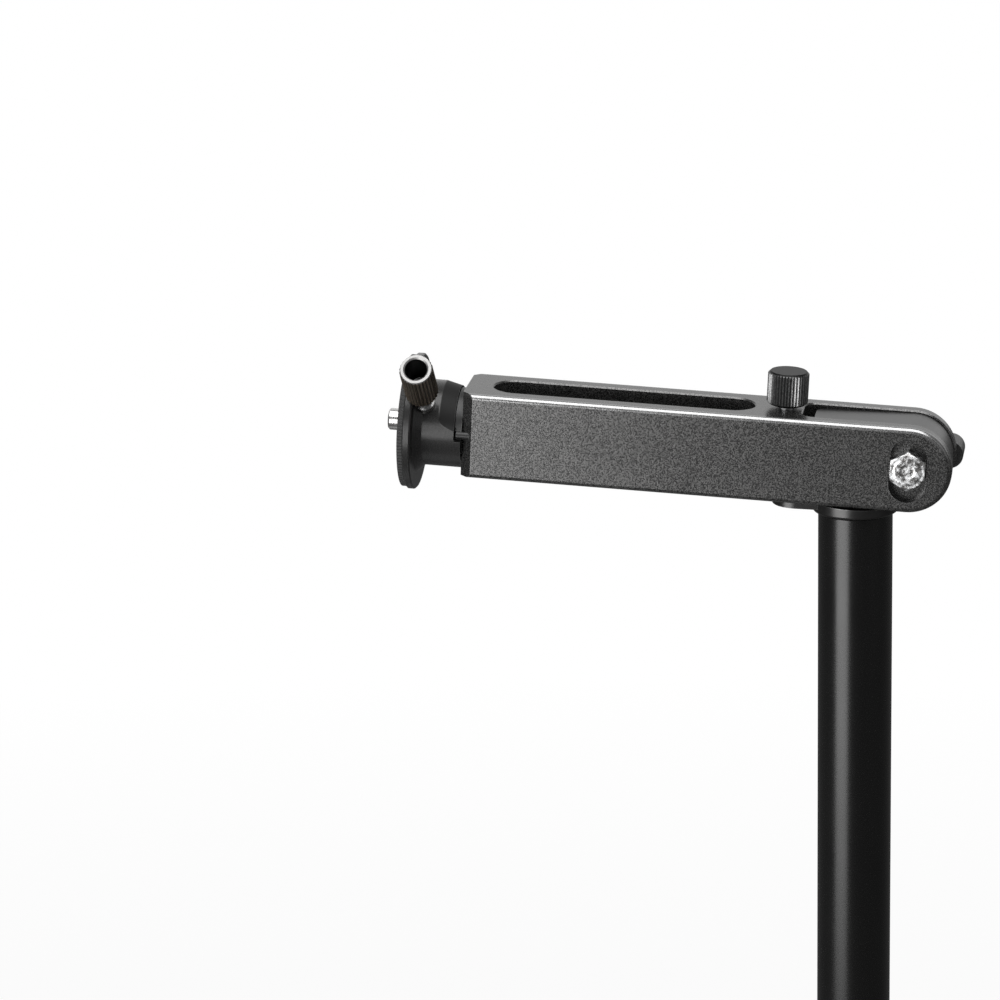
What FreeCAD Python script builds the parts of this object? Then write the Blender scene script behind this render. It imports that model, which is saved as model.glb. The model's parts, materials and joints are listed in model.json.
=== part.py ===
"""Copy stand: a base board, a telescopic column and an arm that tilts on a fork and tongue.

Millimetres and degrees, +Z up. The origin is on the table, under the middle of the base board.
The column stands to the right (+X) and the arm reaches left, so that its head is over the middle
of the board. The user, and the heads of the bolts, are on the -Y side.

Every driving size is a cell of the sheet below. LINKS are the sizes that follow from those cells,
and each sketch, primitive and placement is bound to them by an expression.
"""
import FreeCAD
import Part
import Sketcher
import math
import os
import re

from FreeCAD import Vector

SIZES = {
    # Base board with its rubber feet
    "board_length": 360.0,
    "board_width": 300.0,
    "board_thick": 18.0,
    "board_corner": 22.0,
    "board_edge": 1.5,
    "column_inset": 40.0,
    "rubber_radius": 13.0,
    "rubber_height": 8.0,
    "rubber_inset": 28.0,
    "rubber_screw_radius": 2.0,
    "rubber_screw_length": 14.0,
    # Flanged socket that holds the lower tube
    "socket_rim": 8.0,
    "socket_flange_thick": 8.0,
    "socket_wall": 5.0,
    "socket_foot": 3.0,
    "socket_height": 46.0,
    "socket_floor": 6.0,
    "socket_bolt_play": 1.05,
    "socket_bolt_radius": 3.0,
    "socket_bolt_length": 20.0,
    "grub_radius": 2.5,
    "grub_height": 30.0,
    # Lower tube and the split clamp collar on its top
    "slide_gap": 1.25,
    "lower_wall": 2.0,
    "lower_length": 320.0,
    "collar_wall": 6.0,
    "collar_height": 36.0,
    "collar_grip": 14.0,
    "collar_lip": 2.0,
    "collar_slit": 2.5,
    "collar_turn": -90.0,
    "ear_length": 18.5,
    "ear_width": 20.0,
    "ear_height": 20.0,
    "bush_wall": 2.2,
    "clamp_screw_radius": 3.0,
    # Sliding column tube
    "column_radius": 10.75,
    "column_wall": 1.9,
    "column_length": 400.0,
    "column_exposed": 212.0,
    "guide_height": 15.0,
    "plug_length": 24.0,
    "stud_radius": 4.0,
    "stud_length": 28.0,
    # Bracket: round boss, foot plate and tongue in one piece; the foot slopes up to the left
    "bracket_slope": 1.8,
    "boss_lip": 1.65,
    "boss_height": 3.1,
    "boss_round": 0.8,
    "foot_reach": 23.6,
    "foot_thick": 2.0,
    "foot_gap": 0.1,
    "tongue_reach": 27.7,
    "tongue_drop": 0.6,
    "tongue_corner": 3.0,
    "pivot_offset": 15.75,
    # Arm: a square bar with a window, a web and a fork
    "arm_rest_tilt": 3.2,
    "arm_reach": 128.8,
    "arm_height": 25.0,
    "arm_width": 25.0,
    "arm_round": 1.4,
    "arm_end_chamfer": 3.1,
    "edge_break": 0.4,
    "window_length": 75.9,
    "window_width": 13.8,
    "window_end_wall": 7.5,
    "fork_reach": 31.4,
    "cheek_thick": 5.0,
    "fork_corner": 3.5,
    # Pivot bolt in its trap, with washers and the wing knob
    "bolt_radius": 3.0,
    "bolt_stand": 0.95,
    "hex_across": 10.0,
    "hex_height": 4.0,
    "trap_depth": 2.8,
    "trap_height": 18.8,
    "trap_play": 0.6,
    "washer_thick": 1.2,
    "washer_radius": 6.5,
    "friction_thick": 0.45,
    "friction_drop": 2.0,
    "wing_span": 29.0,
    "wing_width": 8.0,
    "wing_thick": 9.5,
    "wing_hub_radius": 7.0,
    "wing_hub_rise": 1.5,
    "wing_turn": 9.0,
    "insert_radius": 4.6,
    # Levelling screw through the web
    "level_reach": 36.3,
    "level_screw_radius": 2.5,
    "level_knob_radius": 5.95,
    "level_knob_height": 9.7,
    "level_neck_radius": 3.9,
    "level_neck_height": 0.5,
    "level_gap": 0.8,
    "level_pad_radius": 2.9,
    "level_pad_height": 2.0,
    "level_pocket_depth": 3.4,
    "knurl_depth": 0.42,
    "knob_chamfer": 0.75,
    # Swivelling head at the arm's left end
    "disc_thick": 1.9,
    "stop_angle": 92.0,
    "stop_pin_radius": 1.2,
    "stop_pin_grip": 4.8,
    "hub_radius": 12.5,
    "hub_length": 11.4,
    "skirt_wall": 1.6,
    "flare": 2.3,
    "flange_radius": 19.8,
    "flange_thick": 2.3,
    "stop_play": 0.8,
    "stop_sweep": 186.0,
    "relief_length": 6.8,
    "relief_drop": 1.2,
    "relief_start": 71.4,
    "relief_sweep": 165.0,
    "relief_cutter": 5.0,
    "spindle_radius": 7.0,
    "spindle_length": 12.0,
    "spindle_groove": 1.0,
    "pad_thick": 1.5,
    "pad_radius": 19.2,
    "camera_root_radius": 4.0,
    "camera_screw_radius": 3.175,
    "camera_screw_reach": 5.5,
    "head_screw_radius": 3.0,
    "head_screw_length": 20.0,
    "saddle_thick": 3.2,
    "saddle_radius": 6.0,
    # Hollow thumb knob that locks the head
    "thumb_angle": 51.0,
    "thumb_side_gap": 0.2,
    "thumb_radius": 4.85,
    "thumb_tip_radius": 4.4,
    "thumb_tip_length": 1.1,
    "thumb_height": 16.2,
    "thumb_clearance": 1.0,
    "thumb_bore_radius": 3.25,
    "thumb_bore_depth": 11.0,
    "thumb_screw_radius": 2.5,
    "thumb_collar_wall": 0.35,
    "thumb_flat_inset": 0.1279,
    # Fits
    "running_gap": 0.05,
    "seat_gap": 0.15,
}

LEVEL_TEETH = 40
THUMB_TEETH = 28

LINKS = {
    "board_under": "rubber_height",
    "board_top": "rubber_height + board_thick",
    "column_x": "board_length / 2 - column_inset",
    "lower_bottom": "board_top + socket_floor",
    "lower_top": "lower_bottom + lower_length",
    "lower_bore": "column_radius + slide_gap",
    "lower_radius": "lower_bore + lower_wall",
    "socket_radius": "lower_radius + socket_wall",
    "socket_bolt_circle": "2 * (socket_radius + socket_foot + 1.65 * socket_bolt_radius + socket_bolt_play)",
    "socket_flange_radius": "socket_bolt_circle / 2 + socket_rim",
    "collar_radius": "lower_radius + collar_wall",
    "ear_reach": "collar_radius + ear_length",
    "clamp_x": "ear_reach - 2.4 * clamp_screw_radius",
    "clamp_z": "collar_height - ear_height / 2",
    "collar_bottom": "lower_top - collar_grip",
    "collar_top": "collar_bottom + collar_height",
    "bush_radius": "column_radius + running_gap + bush_wall",
    "bush_bottom": "lower_top + seat_gap",
    "bush_top": "collar_top - collar_lip - seat_gap",
    "column_top": "collar_top + column_exposed",
    "column_bottom": "column_top - column_length",
    "column_bore": "column_radius - column_wall",
    "arm_half": "arm_height / 2",
    "arm_side": "arm_width / 2",
    "pivot_x": "column_x + pivot_offset",
    "foot_drop": "arm_half + foot_gap",
    "slope_rise": "foot_drop / cos(bracket_slope * 1 deg) - pivot_offset * tan(bracket_slope * 1 deg)",
    "pivot_z": "column_top + boss_height + slope_rise",
    "boss_radius": "column_radius + boss_lip",
    "boss_middle": "(foot_drop * sin(bracket_slope * 1 deg) - pivot_offset) / cos(bracket_slope * 1 deg)",
    "boss_foot_x": "0 - pivot_offset * cos(bracket_slope * 1 deg) + (pivot_z - column_top) * sin(bracket_slope * 1 deg)",
    "boss_foot_z": "0 - pivot_offset * sin(bracket_slope * 1 deg) - (pivot_z - column_top) * cos(bracket_slope * 1 deg)",
    "tongue_thick": "arm_width - 2 * (cheek_thick + friction_thick + running_gap)",
    "tongue_radius": "arm_half - tongue_drop",
    "tongue_heel": "boss_middle + sqrt(boss_radius ^ 2 - (tongue_thick / 2) ^ 2) - 0.1",
    "tongue_root": "sqrt(tongue_radius ^ 2 - tongue_heel ^ 2)",
    "window_left": "0 - arm_reach + window_end_wall",
    "window_right": "window_left + window_length",
    "window_round": "window_width / 2",
    "fork_half": "arm_side - cheek_thick",
    "head_seat": "arm_side - trap_depth",
    "bolt_length": "head_seat + arm_side + washer_thick + seat_gap + wing_thick + bolt_stand",
    "friction_radius": "arm_half - friction_drop",
    "screw_tilt": "arm_rest_tilt - bracket_slope",
    "tip_depth": "(foot_drop + level_reach * sin(screw_tilt * 1 deg)) / cos(screw_tilt * 1 deg)",
    "knob_foot": "arm_half + level_gap",
    "hub_start": "0 - arm_reach - seat_gap",
    "disc_radius": "hub_radius - skirt_wall - 2 * running_gap",
    "disc_left": "0 - arm_reach - disc_thick",
    "pin_spot": "disc_radius + 1 - stop_pin_radius",
    "pin_y": "0 - pin_spot * sin(stop_angle * 1 deg)",
    "pin_z": "pin_spot * cos(stop_angle * 1 deg)",
    "pin_half_angle": "asin(stop_pin_radius / pin_spot) / 1 deg",
    "hub_floor": "disc_left - seat_gap",
    "flare_start": "0 - arm_reach - hub_length",
    "flange_right": "flare_start - flare",
    "flange_left": "flange_right - flange_thick",
    "spindle_left": "disc_left - spindle_length",
    "bore_left": "spindle_left - 2 * seat_gap",
    "thumb_x": "flange_right + thumb_side_gap + thumb_screw_radius",
    "thumb_lift": "flange_radius + thumb_clearance",
    "thumb_collar_radius": "thumb_screw_radius + thumb_collar_wall",
    "thumb_seat": "sqrt(hub_radius ^ 2 - (thumb_collar_radius - thumb_flat_inset) ^ 2)",
    "brake_radius": "thumb_screw_radius - 0.6",
    "saddle_right": "window_left + saddle_thick",
}

WORD = re.compile(r"[a-z][a-z_]*[a-z]")


def formula(text):
    """Write a size formula the way an expression wants it, with links followed to their cells."""
    def expand(match):
        name = match.group()
        if name in SIZES:
            return "sizes." + name
        if name in LINKS:
            return "(" + formula(LINKS[name]) + ")"
        return name
    return WORD.sub(expand, text)


def number(text):
    """The value that a size formula has now."""
    return float(sheet.evalExpression(formula(text)))


def bind(item, target, text):
    item.setExpression(target, formula(text))


# The document, its sheet of sizes and its frames

doc = FreeCAD.newDocument("copy_stand")
sheet = doc.addObject("Spreadsheet::Sheet", "sizes")
for row, (size_name, size_value) in enumerate(SIZES.items(), start=1):
    sheet.set("A%d" % row, size_name)
    sheet.set("B%d" % row, str(size_value))
    sheet.setAlias("B%d" % row, size_name)
doc.recompute()

PARTS = []


def frame(name, x, z, tilt):
    """A named frame: pieces that belong together are drawn from it."""
    made = doc.addObject("App::Placement", name)
    spot = "placement(vector(%s; 0; %s); rotation(vector(0; 1; 0); %s * 1 deg))"
    bind(made, "Placement", spot % (x, z, tilt))
    return made


frame("column_frame", "column_x", "0", "0")
frame("bracket_frame", "pivot_x", "pivot_z", "bracket_slope")
frame("arm_frame", "pivot_x", "pivot_z", "arm_rest_tilt")
collar_frame = doc.addObject("App::Placement", "collar_frame")
bind(collar_frame, "Placement",
     "placement(vector(column_x; 0; collar_bottom); rotation(vector(0; 0; 1); collar_turn * 1 deg))")
doc.recompute()


def place(item, home, x="0", y="0", z="0", axis=(0, 0, 1), angle="0"):
    """Put an item at a spot of a frame, turned about an axis."""
    turn = "rotation(vector(%d; %d; %d); (%s) * 1 deg)" % (axis + (angle,))
    spot = "placement(vector(%s; %s; %s); %s)" % (x, y, z, turn)
    bind(item, "Placement", (home + ".Placement * " if home else "") + spot)


# Drawing helpers

def new_body(label):
    body = doc.addObject("PartDesign::Body", label)
    body.Label = label
    return body


def new_sketch(body, name, plane, offset="0", turn="0"):
    """A sketch on one of the body's own planes, lifted along its normal or turned about its x."""
    sketch = body.newObject("Sketcher::SketchObject", name)
    flat = [item for item in body.Origin.OriginFeatures if item.Role == plane + "_Plane"][0]
    sketch.AttachmentSupport = [(flat, "")]
    sketch.MapMode = "FlatFace"
    lift = "placement(vector(0; 0; %s); rotation(vector(1; 0; 0); (%s) * 1 deg))"
    bind(sketch, "AttachmentOffset", lift % (offset, turn))
    return sketch


def pin_point(sketch, edge, spot, x, y):
    """Bind one sketch point to a pair of formulas."""
    for kind, text in (("DistanceX", x), ("DistanceY", y)):
        if text is None:
            continue
        index = sketch.addConstraint(Sketcher.Constraint(kind, edge, spot, number(text)))
        name = "%s_%d_%d" % (kind[-1].lower(), edge, spot)
        sketch.renameConstraint(index, name)
        bind(sketch, "Constraints." + name, text)


def outline(body, name, plane, corners, offset="0", turn="0"):
    """A closed outline, anticlockwise. A corner is (x, y), or (x, y, centre_x, centre_y) where the
    side that starts there is an arc; one centre formula may be None where the ends settle it."""
    sketch = new_sketch(body, name, plane, offset, turn)
    spots = [Vector(number(corner[0]), number(corner[1]), 0) for corner in corners]
    for index, corner in enumerate(corners):
        start, end = spots[index], spots[(index + 1) % len(spots)]
        if len(corner) == 2:
            sketch.addGeometry(Part.LineSegment(start, end))
            continue
        middle = Vector((start.x + end.x) / 2, (start.y + end.y) / 2, 0)
        centre = Vector(number(corner[2]) if corner[2] else middle.x,
                        number(corner[3]) if corner[3] else middle.y, 0)
        circle = Part.Circle(centre, Vector(0, 0, 1), start.distanceToPoint(centre))
        first = math.atan2(start.y - centre.y, start.x - centre.x)
        last = math.atan2(end.y - centre.y, end.x - centre.x)
        sketch.addGeometry(Part.ArcOfCircle(circle, first, last))
    for index, corner in enumerate(corners):
        following = (index + 1) % len(corners)
        sketch.addConstraint(Sketcher.Constraint("Coincident", index, 2, following, 1))
    for index, corner in enumerate(corners):
        pin_point(sketch, index, 1, corner[0], corner[1])
        if len(corner) > 2:
            pin_point(sketch, index, 3, corner[2], corner[3])
    doc.recompute()
    if sketch.solve() != 0:
        raise ValueError("%s: sketch %s is not solved" % (body.Label, name))
    return sketch


def circles(body, name, plane, spots, offset="0"):
    """Circles in one sketch; a spot is (x, y, radius)."""
    sketch = new_sketch(body, name, plane, offset)
    for index, (x, y, radius) in enumerate(spots):
        centre = Vector(number(x), number(y), 0)
        sketch.addGeometry(Part.Circle(centre, Vector(0, 0, 1), number(radius)))
        pin_point(sketch, index, 3, x, y)
        held = sketch.addConstraint(Sketcher.Constraint("Radius", index, number(radius)))
        sketch.renameConstraint(held, "radius_%d" % index)
        bind(sketch, "Constraints.radius_%d" % index, radius)
    return sketch


def slot_corners(left, right, half, upright=False):
    """Corners of a full-round slot from its two arc centres and its half width."""
    if upright:
        return [(half, left), (half, right, None, right), ("0 - (%s)" % half, right),
                ("0 - (%s)" % half, left, None, left)]
    return [(left, "0 - (%s)" % half), (right, "0 - (%s)" % half, right, None),
            (right, half), (left, half, left, None)]


def pad(body, sketch, length, both_ways=False, flip=False):
    made = body.newObject("PartDesign::Pad", sketch.Name + "_pad")
    made.Profile = sketch
    bind(made, "Length", length)
    made.Midplane = both_ways
    made.Reversed = flip
    doc.recompute()
    return made


def pocket(body, sketch, length, both_ways=False, flip=False):
    """Cut a sketch into the body; the volume shows whether the cut points into the solid."""
    before = body.Tip.Shape.Volume
    made = body.newObject("PartDesign::Pocket", sketch.Name + "_pocket")
    made.Profile = sketch
    bind(made, "Length", length)
    made.Midplane = both_ways
    made.Reversed = flip
    doc.recompute()
    if made.Shape.Volume > before - 1e-3:
        raise ValueError(body.Label + ": " + made.Name + " cuts nothing")
    return made


def edge_names(feature, wanted):
    """Names of the edges of a feature that a test on the edge picks out."""
    return ["Edge%d" % index for index, edge in enumerate(feature.Shape.Edges, start=1) if wanted(edge)]


def soften(body, kind, size, wanted):
    """A fillet or chamfer on the edges that a test picks out of the body so far."""
    base = body.Tip
    names = edge_names(base, wanted)
    if not names:
        raise ValueError(body.Label + ": no edge to soften")
    made = body.newObject("PartDesign::" + kind, base.Name + "_" + kind.lower())
    made.Base = (base, names)
    bind(made, "Radius" if kind == "Fillet" else "Size", size)
    doc.recompute()
    if made.Shape.isNull() or not made.Shape.isValid():
        raise ValueError(body.Label + ": " + made.Name + " is not sound")
    return made


def upright(edge):
    """True for a straight edge along Z."""
    line = edge.Vertexes[-1].Point - edge.Vertexes[0].Point
    return edge.Curve.TypeId == "Part::GeomLine" and abs(line.x) + abs(line.y) < 1e-6


def at_height(height):
    """A test for edges that lie flat at one height."""
    return lambda edge: (abs(edge.BoundBox.ZMin - height) < 1e-4
                         and abs(edge.BoundBox.ZMax - height) < 1e-4)


def revolve(body, sketch, axis):
    made = body.newObject("PartDesign::Revolution", sketch.Name + "_turned")
    made.Profile = sketch
    made.ReferenceAxis = (sketch, [axis])
    made.Angle = 360
    doc.recompute()
    return made


def turned(label, corners, along="Z"):
    """A lathe piece. Corners are (radius, height) along Z, (height, radius) along X, and
    (radius, height) along Y."""
    body = new_body(label)
    plane = "XY" if along == "Y" else "XZ"
    sketch = outline(body, label + "_profile", plane, corners)
    revolve(body, sketch, "H_Axis" if along == "X" else "V_Axis")
    return body


def drill(body, name, radius, length, x="0", y="0", z="0", axis=(1, 0, 0), angle="0"):
    """A plain hole in any direction: a cylinder along Z, turned about an axis."""
    before = body.Tip.Shape.Volume
    made = body.newObject("PartDesign::SubtractiveCylinder", name)
    bind(made, "Radius", radius)
    bind(made, "Height", length)
    place(made, "", x, y, z, axis, angle)
    doc.recompute()
    if made.Shape.Volume > before - 1e-3:
        raise ValueError(body.Label + ": " + name + " cuts nothing")
    return made


def hexagon(body, kind, name, across, height, z="0", turn="0"):
    """A hexagonal prism along Z, added to or cut from the body; across is flat to flat."""
    made = body.newObject("PartDesign::" + kind + "Prism", name)
    made.Polygon = 6
    bind(made, "Circumradius", "(%s) / 2 / cos(30 deg)" % across)
    bind(made, "Height", height)
    place(made, "", "0", "0", z, angle=turn)
    doc.recompute()
    return made


def finish(item, home, x="0", y="0", z="0", axis=(0, 0, 1), angle="0"):
    """Place a finished piece and put it on the list of parts."""
    place(item, home, x, y, z, axis, angle)
    PARTS.append(item)
    return item


def group(label, pieces):
    """Identical pieces in one node, each still a solid of its own."""
    made = doc.addObject("Part::Compound", label)
    made.Label = label
    made.Links = pieces
    PARTS.append(made)
    return made


def boolean(kind, label, base, tool):
    made = doc.addObject("Part::" + kind, label)
    made.Label = label
    made.Base = base
    made.Tool = tool
    doc.recompute()
    return made


def socket_screw(label, radius, length):
    """A cap screw along Z: the underside of its head is at z = 0 and its shank hangs below."""
    body = turned(label, [
        ("0", "0 - (%s)" % length),
        ("(%s) - 0.4" % radius, "0 - (%s)" % length),
        (radius, "0.4 - (%s)" % length),
        (radius, "0"),
        ("1.65 * (%s)" % radius, "0"),
        ("1.65 * (%s)" % radius, "2 * (%s) - 0.3" % radius),
        ("1.65 * (%s) - 0.3" % radius, "2 * (%s)" % radius),
        ("0", "2 * (%s)" % radius),
    ])
    hexagon(body, "Subtractive", label + "_socket", "1.7 * (%s)" % radius, radius, radius)
    return body


def star_wire(radius, depth, teeth, z):
    """A knurled cross-section: straight flanks between tooth tips and roots."""
    points = []
    for step in range(2 * teeth):
        reach = radius - (depth if step % 2 else 0)
        turn = math.pi * step / teeth
        points.append(Vector(reach * math.cos(turn), reach * math.sin(turn), z))
    points.append(points[0])
    return Part.makePolygon(points)


def knurled(label, envelope, teeth, ends):
    """A knob whose teeth run from end to end of a lathe envelope. The ends are (radius, z)."""
    wires = []
    for index, (radius, z) in enumerate(ends):
        wire = doc.addObject("Part::Feature", "%s_teeth_%d" % (label, index))
        wire.Shape = star_wire(number(radius), number("knurl_depth"), teeth, number(z))
        wires.append(wire)
    loft = doc.addObject("Part::Loft", label + "_teeth")
    loft.Sections = wires
    loft.Solid = True
    loft.Ruled = True
    return boolean("Common", label, envelope, loft)


def wing_knob(label):
    """A two-winged knob along +Z with a hole for its threaded insert."""
    body = new_body(label)
    tip = "wing_span / 2 - wing_width / 2"
    pad(body, outline(body, label + "_wings", "XY", slot_corners("0 - (%s)" % tip, tip, "wing_width / 2")),
        "wing_thick")
    pad(body, circles(body, label + "_hub", "XY", [("0", "0", "wing_hub_radius")]),
        "wing_thick + wing_hub_rise")
    top = number("wing_thick")
    soften(body, "Fillet", "1.2", at_height(top + number("wing_hub_rise")))
    drill(body, label + "_hole", "insert_radius", "wing_thick + wing_hub_rise + 2", z="0 - 1")
    return body


def threaded_insert(label):
    return turned(label, [
        ("bolt_radius + running_gap", "0"),
        ("insert_radius", "0"),
        ("insert_radius", "wing_thick"),
        ("bolt_radius + running_gap", "wing_thick"),
    ])


# Base board and feet

def make_base_board():
    body = new_body("base_board")
    half_x, half_y = "board_length / 2", "board_width / 2"
    sketch = outline(body, "board_outline", "XY", [
        ("0 - " + half_x, "0 - " + half_y),
        (half_x, "0 - " + half_y),
        (half_x, half_y),
        ("0 - " + half_x, half_y),
    ])
    pad(body, sketch, "board_thick")
    soften(body, "Fillet", "board_corner", upright)
    top = at_height(number("board_thick"))
    soften(body, "Chamfer", "board_edge", top)
    holes = [(x, y, "socket_bolt_radius + running_gap") for x, y in socket_bolt_spots()]
    pocket(body, circles(body, "bolt_holes", "XY", holes, "board_thick"), "socket_bolt_length")
    holes = [(x, y, "rubber_screw_radius + running_gap") for x, y in rubber_spots()]
    pocket(body, circles(body, "foot_holes", "XY", holes), "rubber_screw_length - 2", flip=True)
    finish(body, "", z="board_under")


def rubber_spots():
    x, y = "(board_length / 2 - rubber_inset)", "(board_width / 2 - rubber_inset)"
    return [(sign_x + x, sign_y + y) for sign_x in ("0 - ", "") for sign_y in ("0 - ", "")]


def socket_bolt_spots():
    """Four bolts on a circle round the column, at 45 degrees to the board's edges."""
    step = "socket_bolt_circle / 2 * cos(45 deg)"
    return [("column_x %s %s" % (sign_x, step), "0 %s %s" % (sign_y, step))
            for sign_x in "+-" for sign_y in "+-"]


def make_rubber_feet():
    feet = []
    screws = []
    for index, (x, y) in enumerate(rubber_spots()):
        foot = turned("rubber_foot_%d" % index, [
            ("rubber_screw_radius * 2.2", "0"),
            ("rubber_radius - 1.5", "0"),
            ("rubber_radius", "1.5"),
            ("rubber_radius - 0.8", "rubber_height"),
            ("rubber_screw_radius + running_gap", "rubber_height"),
            ("rubber_screw_radius + running_gap", "rubber_height / 2"),
            ("rubber_screw_radius * 2.2", "rubber_height / 2"),
        ])
        place(foot, "", x, y)
        feet.append(foot)
        screw = turned("foot_screw_%d" % index, [
            ("0", "rubber_height / 2 - 2"),
            ("rubber_screw_radius * 2", "rubber_height / 2 - 2"),
            ("rubber_screw_radius * 2", "rubber_height / 2"),
            ("rubber_screw_radius", "rubber_height / 2"),
            ("rubber_screw_radius", "rubber_height / 2 + rubber_screw_length - 1.5"),
            ("0", "rubber_height / 2 + rubber_screw_length"),
        ])
        place(screw, "", x, y)
        screws.append(screw)
    group("rubber_feet", feet)
    group("foot_screws", screws)


# Column socket, lower tube and clamp collar

def make_column_socket():
    body = turned("column_socket", [
        ("0", "0"),
        ("socket_flange_radius", "0"),
        ("socket_flange_radius", "socket_flange_thick - 1.5"),
        ("socket_flange_radius - 1.5", "socket_flange_thick"),
        ("socket_radius + socket_foot", "socket_flange_thick"),
        ("socket_radius", "socket_flange_thick + socket_foot"),
        ("socket_radius", "socket_height - 1.5"),
        ("socket_radius - 1.5", "socket_height"),
        ("lower_radius + running_gap", "socket_height"),
        ("lower_radius + running_gap", "socket_floor"),
        ("0", "socket_floor"),
    ])
    step = "socket_bolt_circle / 2 * cos(45 deg)"
    spots = [("0 %s %s" % (a, step), "0 %s %s" % (b, step)) for a in "+-" for b in "+-"]
    holes = [(x, y, "socket_bolt_radius + running_gap") for x, y in spots]
    pocket(body, circles(body, "flange_holes", "XY", holes), "socket_flange_thick + 1", flip=True)
    for index, side in enumerate(("90", "0 - 90")):
        drill(body, "grub_hole_%d" % index, "grub_radius + running_gap", "socket_radius + 1",
              z="grub_height", axis=(1, 0, 0), angle=side)
    finish(body, "column_frame", z="board_top")
    bolts = []
    for index, (x, y) in enumerate(socket_bolt_spots()):
        bolt = socket_screw("socket_bolt_%d" % index, "socket_bolt_radius", "socket_bolt_length")
        place(bolt, "", x, y, "board_top + socket_flange_thick")
        bolts.append(bolt)
    group("socket_bolts", bolts)
    grubs = []
    for index, side in enumerate(("90", "0 - 90")):
        grub = turned("grub_%d" % index, [
            ("0", "lower_radius + 0.1"),
            ("grub_radius", "lower_radius + 0.1"),
            ("grub_radius", "socket_radius - 0.5"),
            ("0", "socket_radius - 0.5"),
        ])
        hexagon(grub, "Subtractive", "grub_socket_%d" % index, "grub_radius", "2", "socket_radius - 2.5")
        place(grub, "column_frame", z="board_top + grub_height", axis=(1, 0, 0), angle=side)
        grubs.append(grub)
    group("socket_grub_screws", grubs)


def tube(label, outer, inner, length):
    return turned(label, [(inner, "0"), (outer, "0"), (outer, length), (inner, length)])


def make_lower_tube():
    finish(tube("lower_tube", "lower_radius", "lower_bore", "lower_length"), "column_frame", z="lower_bottom")


def make_clamp_collar():
    """The collar grips the lower tube below and the nylon bush above; its slit closes on the bush."""
    body = turned("clamp_collar", [
        ("lower_radius + running_gap", "0"),
        ("collar_radius - 1", "0"),
        ("collar_radius", "1"),
        ("collar_radius", "collar_height - 1"),
        ("collar_radius - 1", "collar_height"),
        ("column_radius + 0.5", "collar_height"),
        ("column_radius + 0.5", "collar_height - collar_lip"),
        ("bush_radius + running_gap", "collar_height - collar_lip"),
        ("bush_radius + running_gap", "collar_grip"),
        ("lower_radius + running_gap", "collar_grip"),
    ])
    ears = outline(body, "ears", "XY", [
        ("collar_radius - 3", "0 - ear_width / 2"),
        ("ear_reach", "0 - ear_width / 2"),
        ("ear_reach", "ear_width / 2"),
        ("collar_radius - 3", "ear_width / 2"),
    ], "collar_height - ear_height")
    pad(body, ears, "ear_height")
    far = number("ear_reach")
    soften(body, "Fillet", "4", lambda edge: abs(edge.BoundBox.XMin - far) < 1e-4
           and abs(edge.BoundBox.XMax - far) < 1e-4 and edge.BoundBox.ZLength < 1e-4)
    slit = outline(body, "slit", "XY", [
        ("bush_radius - 1", "0 - collar_slit / 2"),
        ("ear_reach + 1", "0 - collar_slit / 2"),
        ("ear_reach + 1", "collar_slit / 2"),
        ("bush_radius - 1", "collar_slit / 2"),
    ])
    pocket(body, slit, "collar_height + 1", flip=True)
    drill(body, "clamp_hole", "clamp_screw_radius + running_gap", "ear_width + 2", x="clamp_x",
          y="ear_width / 2 + 1", z="clamp_z", axis=(1, 0, 0), angle="90")
    finish(body, "collar_frame")
    screw = socket_screw("collar_screw", "clamp_screw_radius", "ear_width + washer_thick + wing_thick")
    finish(screw, "collar_frame", "clamp_x", "ear_width / 2", "clamp_z", axis=(1, 0, 0), angle="0 - 90")
    washer = tube("collar_washer", "washer_radius", "clamp_screw_radius + running_gap", "washer_thick")
    finish(washer, "collar_frame", "clamp_x", "0 - ear_width / 2", "clamp_z", axis=(1, 0, 0), angle="90")
    for piece in (wing_knob("collar_knob"), threaded_insert("collar_knob_insert")):
        finish(piece, "collar_frame", "clamp_x", "0 - ear_width / 2 - washer_thick - seat_gap",
               "clamp_z", axis=(1, 0, 0), angle="90")


def make_collar_bush():
    body = tube("collar_bush", "bush_radius", "column_radius + running_gap", "bush_top - bush_bottom")
    slit = outline(body, "bush_slit", "XY", [
        ("column_radius - 1", "0 - collar_slit / 3"),
        ("bush_radius + 1", "0 - collar_slit / 3"),
        ("bush_radius + 1", "collar_slit / 3"),
        ("column_radius - 1", "collar_slit / 3"),
    ])
    pocket(body, slit, "bush_top - bush_bottom + 1", flip=True)
    finish(body, "collar_frame", z="bush_bottom - collar_bottom")


# Sliding column

def make_column():
    body = turned("column_tube", [
        ("column_bore", "0"),
        ("column_radius", "0"),
        ("column_radius", "column_length - 0.5"),
        ("column_radius - 0.5", "column_length"),
        ("column_bore", "column_length"),
    ])
    finish(body, "column_frame", z="column_bottom")
    guide = turned("column_guide_plug", [
        ("0", "0 - guide_height"),
        ("lower_bore - running_gap - 1", "0 - guide_height"),
        ("lower_bore - running_gap", "1 - guide_height"),
        ("lower_bore - running_gap", "0"),
        ("column_bore", "0"),
        ("column_bore", "guide_height"),
        ("0", "guide_height"),
    ])
    finish(guide, "column_frame", z="column_bottom")
    plug = turned("column_top_plug", [
        ("stud_radius", "0"),
        ("column_bore", "0"),
        ("column_bore", "plug_length"),
        ("stud_radius", "plug_length"),
    ])
    finish(plug, "column_frame", z="column_top - plug_length")
    stud = turned("bracket_stud", [
        ("0", "0"),
        ("stud_radius - 0.5", "0"),
        ("stud_radius", "0.5"),
        ("stud_radius", "stud_length - 0.5"),
        ("stud_radius - 0.5", "stud_length"),
        ("0", "stud_length"),
    ])
    finish(stud, "column_frame", z="column_top - stud_length + 10")


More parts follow.
